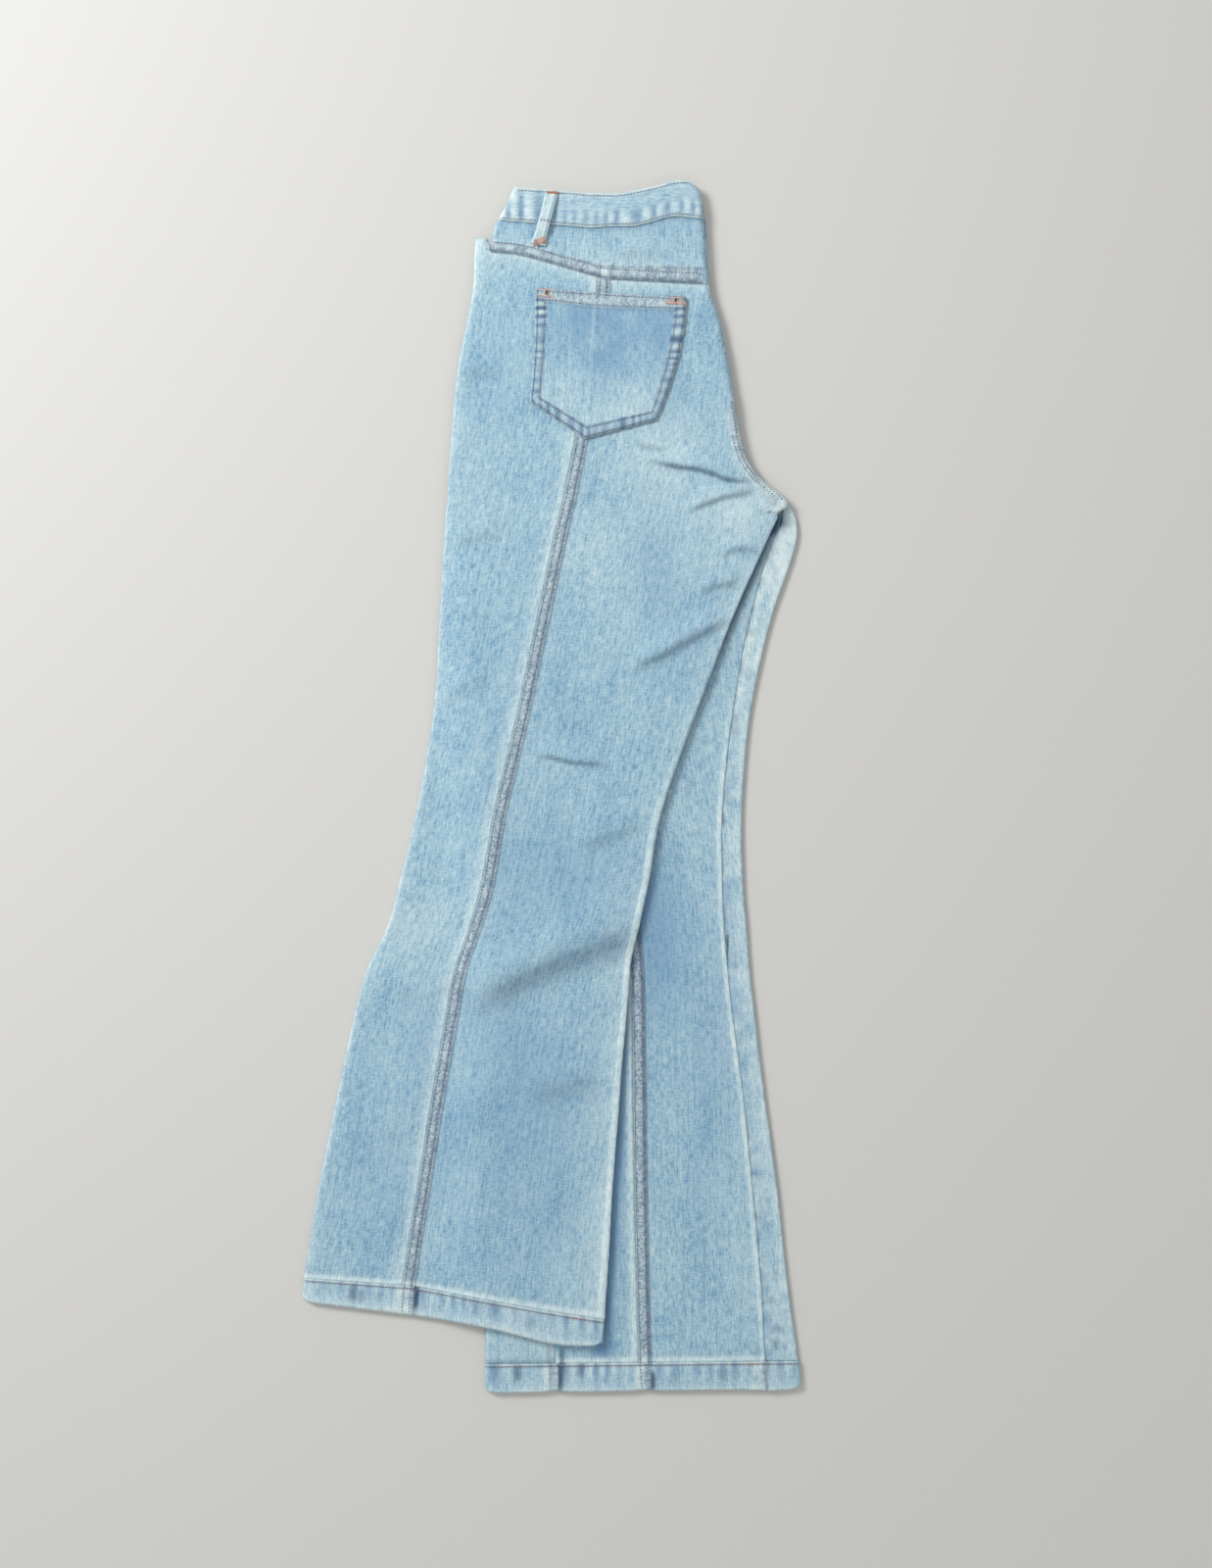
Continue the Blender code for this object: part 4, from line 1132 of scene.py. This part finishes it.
def waistDip(name, here, x, down, z):  # the waist dips towards the centre front, on the front layers only
    dip = cut["frontDip"] * np.clip((x - cut["dipStart"]) / cut["dipRun"], 0, 1)
    if name.startswith("front"):
        return down + dip * (1 - past(here.v, 1, 4))
    if name != "waistband":
        return down
    fronts = (z > bandHeight(leftFront) - 0.01) & (z < bandHeight(rightFront) + 0.01)
    return down + dip * (fronts & (x < here.innerX - cut["foldReach"]))


def besideYoke(here, x, down):
    tab = past(-x, backTab["edge"], backTab["edgeRun"]) * eased(1 - (here.v - yokeAt) / backTab["places"])
    return mix(down, backTab["top"] + backTab["fall"] * (here.v - yokeAt), tab)


made, cuts = {}, {}
rings = ("waistband", "hem_right", "hem_left")
for name, course, side, firstPlace, lastPlace, up, grid in panelRows:
    rowSpacing, columnSpacing = grain[grid]
    here = section(side, placesDown(side, firstPlace, lastPlace, rowSpacing))
    x, z = [np.concatenate(values, axis=1) for values in zip(*course(here, columnSpacing))]
    down = waistDip(name, here, x, downAt(here, x), z)
    if name == "back_outer_right":
        down = besideYoke(here, x, down)
    lift, wearAndShade = finish(name, here, x, down, z)
    normal = outward(x, z, up)
    points = placed(x + lift * normal[0], down, z + lift * normal[1])
    steps = [np.diff(values, axis=1, prepend=values[:, :1]) for values in (x, z)]
    acrossCut = np.cumsum(np.hypot(*steps), axis=1)
    ring = name in rings
    axis = here.seamEdge * (name not in ("yoke_right", "yoke_left"))  # the warp runs along this line
    alongCut = arcLength(axis, here.sideDown) + down - down[:, :1]
    random.seed(name)
    shift = random.uniform(0, 0.8)  # in metres, so no two panels show the same part of the pattern
    uv = np.stack((acrossCut if ring else x - axis, alongCut), axis=-1) * mm + shift
    if name == "waistband":  # its warp runs round the waist
        uv = uv[..., ::-1]
    wall = cut["bandWall" if name == "waistband" else "hemWall" if ring else "wall"]
    piece = gridObject(name + "_cloth", points, uv, wearAndShade, wall, "hem" in name, up > 0)
    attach(piece, "root")
    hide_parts(name)
    widths, lengths = acrossCut[:, -1], arcLength(x, down)[-1]
    cuts[name] = (float(np.max(widths)) * mm, float(np.max(lengths)) * mm,
                  float(np.mean(widths)) * float(np.mean(lengths)) * mm * mm)
    made[name] = piece
    print("cut", name, points.shape[:2], "%.3f x %.3f m" % cuts[name][:2])


pocketLook = {  # the patch, drawn from its top corners, its sides and the point at its foot
    "topSide": (-15.3, 100.5),
    "topCentre": (123.2, 108.3),
    "footSide": (-20.5, 203.5),
    "footPoint": (30.2, 238.0),
    "footCentre": (96.0, 220.5),
    "pointShare": 0.42,
    "bulge": 6.0,
    "lift": 1.3,
    "hem": 12.0,
    "border": 9.0,
    "width": 134.0,
    "tall": 120.0,
    "footShare": 0.93,
    "rows": 84,
    "columns": 72,
}


def pocketPlan(u, w):
    look = pocketLook
    share = look["pointShare"]
    before = np.clip(u / share, 0, 1)
    after = np.clip((u - share) / (1 - share), 0, 1)
    side, point, centre = [np.array(look[key]) for key in ("footSide", "footPoint", "footCentre")]
    foot = [mix(mix(side[i], point[i], before), centre[i], after) for i in (0, 1)]
    top = [mix(look["topSide"][i], look["topCentre"][i], u) for i in (0, 1)]
    x, down = mix(top[0], foot[0], w), mix(top[1], foot[1], w)
    x = x + look["bulge"] * u ** 3 * np.sin(math.pi * np.clip(w, 0, 1) ** 0.9)
    x = x + 1.6 * (1 - u) ** 3 * np.sin(math.pi * w)
    return x, down


def rightTop(x, down):  # the right back's upper face
    return level(rightBack, x, down) + creases(x, down)[0] + waves(x, down, 11) + cut["wall"] / 2


def pocketCloth():
    look = pocketLook
    u, w = np.meshgrid(np.linspace(0, 1, look["columns"]), np.linspace(0, 1, look["rows"]))
    x, down = pocketPlan(u, w)
    width, tall = look["width"], look["tall"]
    fromSide, fromCentre, fromTop = u * width, (1 - u) * width, w * tall
    fromFoot = (1 - w) * tall * look["footShare"]
    edge = np.minimum(np.minimum(fromSide, fromCentre), fromFoot)
    upright = np.minimum(fromSide, fromCentre) < fromFoot
    wave = np.where(upright, puckers(down, 8.6, 41), 0.5 * puckers(x, 9.0, 43))
    wave = np.clip(wave * (1 + 0.7 * cloudy(x, down, 13, 44)), -1, 1)
    under = 1 - past(edge, look["border"], 1.5)  # the turned edge below makes the border stand up
    hem = 1 - past(fromTop, look["hem"] - 1.2, 1.2)
    side = under * (1 - hem)
    lift = 0.32 * under + 0.38 * hem - 0.3 * bell(edge - 1.8, 0.8) - 0.28 * bell(edge - 8.4, 0.9)
    lift = lift + 0.45 * wave * side - 0.9 * bell(edge, 1.1)
    lift = lift - 0.3 * bell(fromTop - 2.0, 0.8) - 0.3 * bell(fromTop - 10.6, 0.9)
    dashes = np.maximum(puckers(x, 8.0, 45), 0)
    pale = side * (0.1 + 0.75 * np.maximum(wave, 0)) + hem * (0.15 + 0.5 * dashes)
    pale = pale + 0.45 * (1 - under) * past(w, 0.45, 0.5) + 0.55 * bell(edge - 0.4, 0.8) * (1 - hem)
    deep = side * (0.3 + 0.9 * np.maximum(-wave, 0)) + 0.05
    middle = (1 - under) * (1 - hem)
    spots = cloudy(x, down, 21, 71) + 0.5 * cloudy(x, down, 9, 72)
    fade = 1 - past(w, 0.1, 0.8)
    deep = deep + middle * (0.38 + 0.36 * spots) * fade * (0.55 + 1.8 * u * (1 - u))
    band = 0.95 * hem + 0.35 * side
    # painted shade: in the hollows of the border's gathers, along the stitch grooves and the edge, and under
    # the hem's fold
    shade = 0.6 * side * np.maximum(-wave, 0) ** 1.5 + 0.5 * bell(edge - 8.6, 1.1) * (1 - hem)
    hemRows = bell(fromTop - 2, 1) + bell(fromTop - 10.6, 1.1)
    shade = shade + 0.62 * bell(edge - 1.5, 1.0) + 0.3 * hem * hemRows
    shade = shade + 0.25 * bell(fromTop - look["hem"] - 1.2, 1.2)
    seamBelow = x - np.interp(down, (100, 184, 240), (40, 36, 27))  # the style seam shows through the patch
    through = middle * (1 - past(w, 0.7, 0.2))
    lift = lift + 0.3 * through * bell(seamBelow, 6.0)
    pale = pale + 0.14 * through * bell(seamBelow + 1.0, 2.2)
    # painted shade beside the ridge of the seam under the patch
    shade = shade + 0.1 * through * (bell(seamBelow - 2.6, 1.2) + bell(seamBelow + 4.5, 1.0))
    z = rightTop(x, down) + look["lift"] + cut["wall"] / 2 + lift
    uv = np.stack((x * mm, down * mm), axis=-1) + 0.37
    wearAndShade = np.clip(np.stack((pale, deep, band, shade), axis=-1), 0, 1)
    return gridObject("back_pocket_cloth", placed(x, down, z), uv, wearAndShade, cut["wall"])


pocket = pocketCloth()
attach(pocket, "root")
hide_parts("back_pocket")
print("pocket made")


loopLook = {
    "top": (0.2, 11.5),
    "foot": (-12.6, 59.5),
    "width": 10.5,
    "wall": 1.5,
    "slack": 1.4,
    "rows": 40,
    "columns": 15,
}


def beltLoop():
    look = loopLook
    (topX, topDown), (footX, footDown) = look["top"], look["foot"]
    length = math.hypot(footX - topX, footDown - topDown)
    acrossX, acrossDown = (footDown - topDown) / length, (topX - footX) / length
    s, share = np.meshgrid(np.linspace(-0.5, 0.5, look["columns"]), np.linspace(0, 1, look["rows"]))
    widen = 1 + 0.22 * past(share, 0.8, 0.15)
    x = mix(topX, footX, share) + s * look["width"] * widen * acrossX
    down = mix(topDown, footDown, share) + s * look["width"] * widen * acrossDown
    bandTop = bandHeight(rightBack) + (cut["bandWall"] + look["wall"]) / 2 + 0.5
    yokeTop = rightTop(x, down) + look["wall"] / 2 + 0.7
    z = mix(bandTop + 0 * x, yokeTop, past(share, 0.7, 0.14)) + look["slack"] * np.sin(math.pi * share)
    z = z - 0.5 * (np.abs(s) * 2) ** 6 + 0.25 * bell(np.abs(s) - 0.3, 0.09)
    z = z - 0.5 * (bell(share - 0.02, 0.035) + bell(share - 0.95, 0.04))
    pale = 0.85 - 0.3 * bell(s - 0.3, 0.1)
    # painted shade along its turned edges, and a faint dark line across its middle
    shade = 0.35 * bell(s - 0.33, 0.07) + 0.2 * bell(s + 0.36, 0.07) + 0.15 * bell(share - 0.55, 0.03)
    uv = np.stack((s * look["width"] * mm, share * length * mm), axis=-1) + 0.61
    wearAndShade = np.clip(np.stack((pale, 0 * s, 0.35 + 0 * s, shade), axis=-1), 0, 1)
    return gridObject("belt_loop_cloth", placed(x, down, z), uv, wearAndShade, look["wall"])


loop = beltLoop()
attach(loop, "root")
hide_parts("belt_loop")
print("belt loop made")

# Sewing lies on the finished cloth, so each stitch is dropped onto it from above
graph = bpy.context.evaluated_depsgraph_get()
upperTrees = [BVHTree.FromObject(piece, graph) for piece in [*made.values(), pocket, loop]]


def surfaceUnder(x, down, below=1.0):
    origin = Vector(((x - cut["centreX"]) * mm, (cut["centreDown"] - down) * mm, 0.2))
    best = None
    for tree in upperTrees:
        point, normal, _, _ = tree.ray_cast(origin, Vector((0, 0, -1)))
        if point is not None and (best is None or point.z > best[0].z):
            best = (point, normal)
    return None if best is None or best[0].z > below else best


def walked(line, pitch):  # points evenly spaced along a line, each with its direction
    line = np.array(line, float)
    steps = np.hypot(*np.diff(line, axis=0).T)
    along = np.concatenate([[0], np.cumsum(steps)])
    count = max(1, int(along[-1] / pitch))
    at = (np.arange(count) + 0.5) * along[-1] / count
    x, down = np.interp(at, along, line[:, 0]), np.interp(at, along, line[:, 1])
    ahead = [np.interp(at + 0.5, along, line[:, k]) - np.interp(at - 0.5, along, line[:, k]) for k in (0, 1)]
    return list(zip(x, down, *ahead))


def sewn(name, lines, material, pitch=3.1, length=2.6, width=1.0, height=0.55, below=1.0):
    shape = bmesh.new()
    for line in lines:
        for x, down, aheadX, aheadDown in walked(line, pitch):
            found = surfaceUnder(x, down, below)
            if found is None:
                continue
            point, normal = found
            if normal.z < 0:
                normal = -normal
            forward = Vector((aheadX, -aheadDown, 0))
            forward = (forward - forward.dot(normal) * normal).normalized()
            sideways = normal.cross(forward)
            turned = Matrix((forward, sideways, normal)).transposed().to_4x4()
            size = Matrix.Diagonal((length * mm, width * mm, height * mm, 1))
            place = Matrix.Translation(point + normal * (0.12 * height * mm))
            bmesh.ops.create_uvsphere(shape, u_segments=6, v_segments=4, radius=0.5,
                                      matrix=place @ turned @ size)
    piece = newPiece(name, shape, material)
    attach(piece, "root")
    made[name] = piece
    return piece


def seamLine(side, column, offset, first, last, count=160):  # a line beside a lengthwise seam
    here = section(side, np.linspace(first, last, count))
    x = getattr(here, column) + offset
    return list(zip(x[:, 0], downAt(here, x)[:, 0]))


def crossLine(side, place, offset, start, end, count=60):  # a line beside a seam that runs across
    x = np.linspace(start, end, count)[None, :]
    here = section(side, np.array([float(place)]))
    return list(zip(x[0], downAt(here, x)[0] + offset))


# places in the right leg's table where the style seam goes under the pocket and comes out again
abovePocket, belowPocket = (2.06, 2.55), (4.95, 4.85)
styleRows = [seamLine("right", "seamEdge", row, foot, 19.85)
             for row, foot in zip(sewing["right"], belowPocket)]
styleRows += [seamLine("right", "seamEdge", row, *abovePocket, 12) for row in sewing["right"]]
sewn("style_seam_stitching_right", styleRows, seamThread)
sewn("style_seam_stitching_left", [seamLine("left", "seamEdge", row, 13.4, 20.9) for row in sewing["left"]],
     seamThread, below=7.2 * mm)
sewn("yoke_stitching", [crossLine("right", yokeAt, -2.0, -62, 138),
                        crossLine("right", yokeAt, -9.6, -61, 137)], seamThread)
sewn("centre_back_stitching", [seamLine("right", "innerX", -6.5, 4.8, 6.9),
                               seamLine("right", "innerX", -2.4, 4.3, 6.9)], seamThread)
sewn("waistband_stitching", [crossLine("right", 0, 2.4, -32, 131),
                             crossLine("right", bandAt, -2.2, -46, 137)], seamThread)
sewn("hem_stitching_right", [crossLine("right", rightHem, 2.2, -226, 45)], hemThread)
sewn("hem_stitching_left", [crossLine("left", leftHem, 2.2, -59, 224)], hemThread,
     below=8.0 * mm)
sewn("hem_thread_joins", [crossLine("right", rightHem, 2.0, 17, 30),
                          crossLine("left", leftHem, 2.0, 179, 190)], rustThread,
     width=1.5, height=0.9)
print("seams sewn")


def pocketLine(inset):  # round the pocket's sides and foot at one distance from its edge
    inU, inW = inset / pocketLook["width"], inset / (pocketLook["tall"] * pocketLook["footShare"])
    down, across = np.linspace(0.02, 1 - inW, 30), np.linspace(inU, 1 - inU, 40)
    u = np.concatenate([inU + 0 * down, across, 1 - inU + 0 * down])
    w = np.concatenate([down, 1 - inW + 0 * across, down[::-1]])
    return list(zip(*pocketPlan(u, w)))


def pocketTop(distance):
    u = np.linspace(0.012, 0.988, 30)
    return list(zip(*pocketPlan(u, distance / pocketLook["tall"] + 0 * u)))


sewn("pocket_stitching", [pocketLine(1.8), pocketLine(8.4), pocketTop(2.0), pocketTop(10.6)], seamThread)


def barTack(centre, direction, length, width):  # threads side by side, laid across the tack
    count = int(length / 0.75)  # one thread every 0.75 mm
    ahead = np.array((math.cos(direction), math.sin(direction)))
    halfThread = np.array((ahead[1], -ahead[0])) * width / 2
    middles = [centre + ahead * length * ((k + 0.5) / count - 0.5) for k in range(count)]
    return [[middle + halfThread, middle - halfThread] for middle in middles]


tackRows = (  # thread, centre, direction, length, width, height
    (rustThread, (0.6, 12.4), 0.05, 11.0, 3.2, 0.8),
    (tackThread, (-12.2, 57.0), -0.28, 12.6, 7.6, 1.8),
    (tackThread, (-4.5, 100.4), 0.06, 15.0, 1.8, 0.7),
    (tackThread, (-4.9, 107.4), 0.06, 15.0, 1.8, 0.7),
    (rustThread, (113.5, 107.6), 0.06, 18.0, 2.4, 0.7),
    (tackThread, (113.2, 113.2), 0.06, 18.0, 4.2, 0.9),
)
for k, (thread, centre, direction, length, width, height) in enumerate(tackRows):
    lines = barTack(np.array(centre), direction, length, width)
    sewn("bar_tack_" + str(k + 1), lines, thread, pitch=99.0, length=width * 1.05, width=0.9,
         height=height)

rivetLook = {"radius": 2.5, "height": 0.9, "dimple": 1.2}
rivetPlaces = {"rivet_side": (-5.0, 103.9), "rivet_centre": (113.5, 111.0)}


def metalMaterial(name, light, dark, roughness):
    # Stamped copper plated steel, worn and tarnished in the wash: dull, with brighter rims
    return mottledMaterial(name, {"Metallic": 0.85, "Roughness": roughness}, light, dark, 0.625, 3.0, 0.15)


wornMetal = metalMaterial("worn copper plate", "#C9B4A6", "#8A6A5A", 0.42)
darkMetal = metalMaterial("tarnished copper plate", "#4A3F3E", "#231F22", 0.6)
for name, (x, down) in rivetPlaces.items():
    point, normal = surfaceUnder(x, down)
    look = rivetLook
    radius, dimple = look["radius"], look["dimple"]
    profile = [(0.02, 0.35), (dimple * 0.6, 0.38), (dimple, 0.75), (radius * 0.7, 1.0),
               (radius * 0.93, 0.62), (radius, 0.0), (radius * 0.9, -0.5)]
    shape = bmesh.new()
    corners = [shape.verts.new((r * mm, 0, h * look["height"] * mm)) for r, h in profile]
    edges = [shape.edges.new(pair) for pair in zip(corners, corners[1:])]
    bmesh.ops.spin(shape, geom=corners + edges, axis=(0, 0, 1), cent=(0, 0, 0), steps=24, angle=2 * math.pi,
                   use_merge=True)
    bmesh.ops.holes_fill(shape, edges=[edge for edge in shape.edges if edge.is_boundary], sides=0)
    bmesh.ops.recalc_face_normals(shape, faces=shape.faces)
    bmesh.ops.translate(shape, verts=shape.verts, vec=point)
    head = newPiece(name + "_head", shape, wornMetal, darkMetal)
    for face in head.data.polygons:
        face.material_index = int((face.center - point).xy.length < 0.8 * look["dimple"] * mm)
    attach(head, "root")
    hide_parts(name)
print("pocket sewn and riveted")

for name, (width, tall, area) in cuts.items():
    round(min(area, width * tall), 4)

stage = {  # in metres, and the key light in watts
    "floor": "#CFCECA",
    "cameraHeight": 1.9,
    "lookX": 0.050,
    "lookY": 0.004,
    "frameHeight": 1.447,
    "sky": 0.61,
    "key": 66.0,
    "keyPlace": (-1.9, 1.5, 1.75),
    "keySize": 0.9,
}


def buildStage():
    shape = bmesh.new()
    bmesh.ops.create_grid(shape, x_segments=1, y_segments=1, size=4.0)
    bmesh.ops.translate(shape, verts=shape.verts, vec=(0, 0, -0.0004))
    paper = newMaterial("matt paper floor", {"Roughness": 0.9, "Base Color": hexColour(stage["floor"])})[0]
    newPiece("floor", shape, paper)
    world = bpy.data.worlds.new("studio")
    bpy.context.scene.world = world
    world.use_nodes = True
    world.node_tree.nodes["Background"].inputs["Color"].default_value = (1.0, 1.0, 1.0, 1.0)
    world.node_tree.nodes["Background"].inputs["Strength"].default_value = stage["sky"]
    lamp = bpy.data.lights.new("key", "AREA")
    lamp.energy = stage["key"]
    lamp.size = stage["keySize"]
    key = bpy.data.objects.new("key", lamp)
    key.location = stage["keyPlace"]
    key.rotation_euler = (-Vector(stage["keyPlace"])).to_track_quat("-Z", "Y").to_euler()
    bpy.context.scene.collection.objects.link(key)
    camera = bpy.data.cameras.new("camera")
    camera.sensor_width = 36.0
    camera.lens = 36.0 * stage["cameraHeight"] / stage["frameHeight"]
    eye = bpy.data.objects.new("camera", camera)
    eye.location = (stage["lookX"], stage["lookY"], stage["cameraHeight"])
    bpy.context.scene.collection.objects.link(eye)
    bpy.context.scene.camera = eye
    bpy.context.scene.view_settings.view_transform = "Standard"


buildStage()
print("stage, light and camera set")
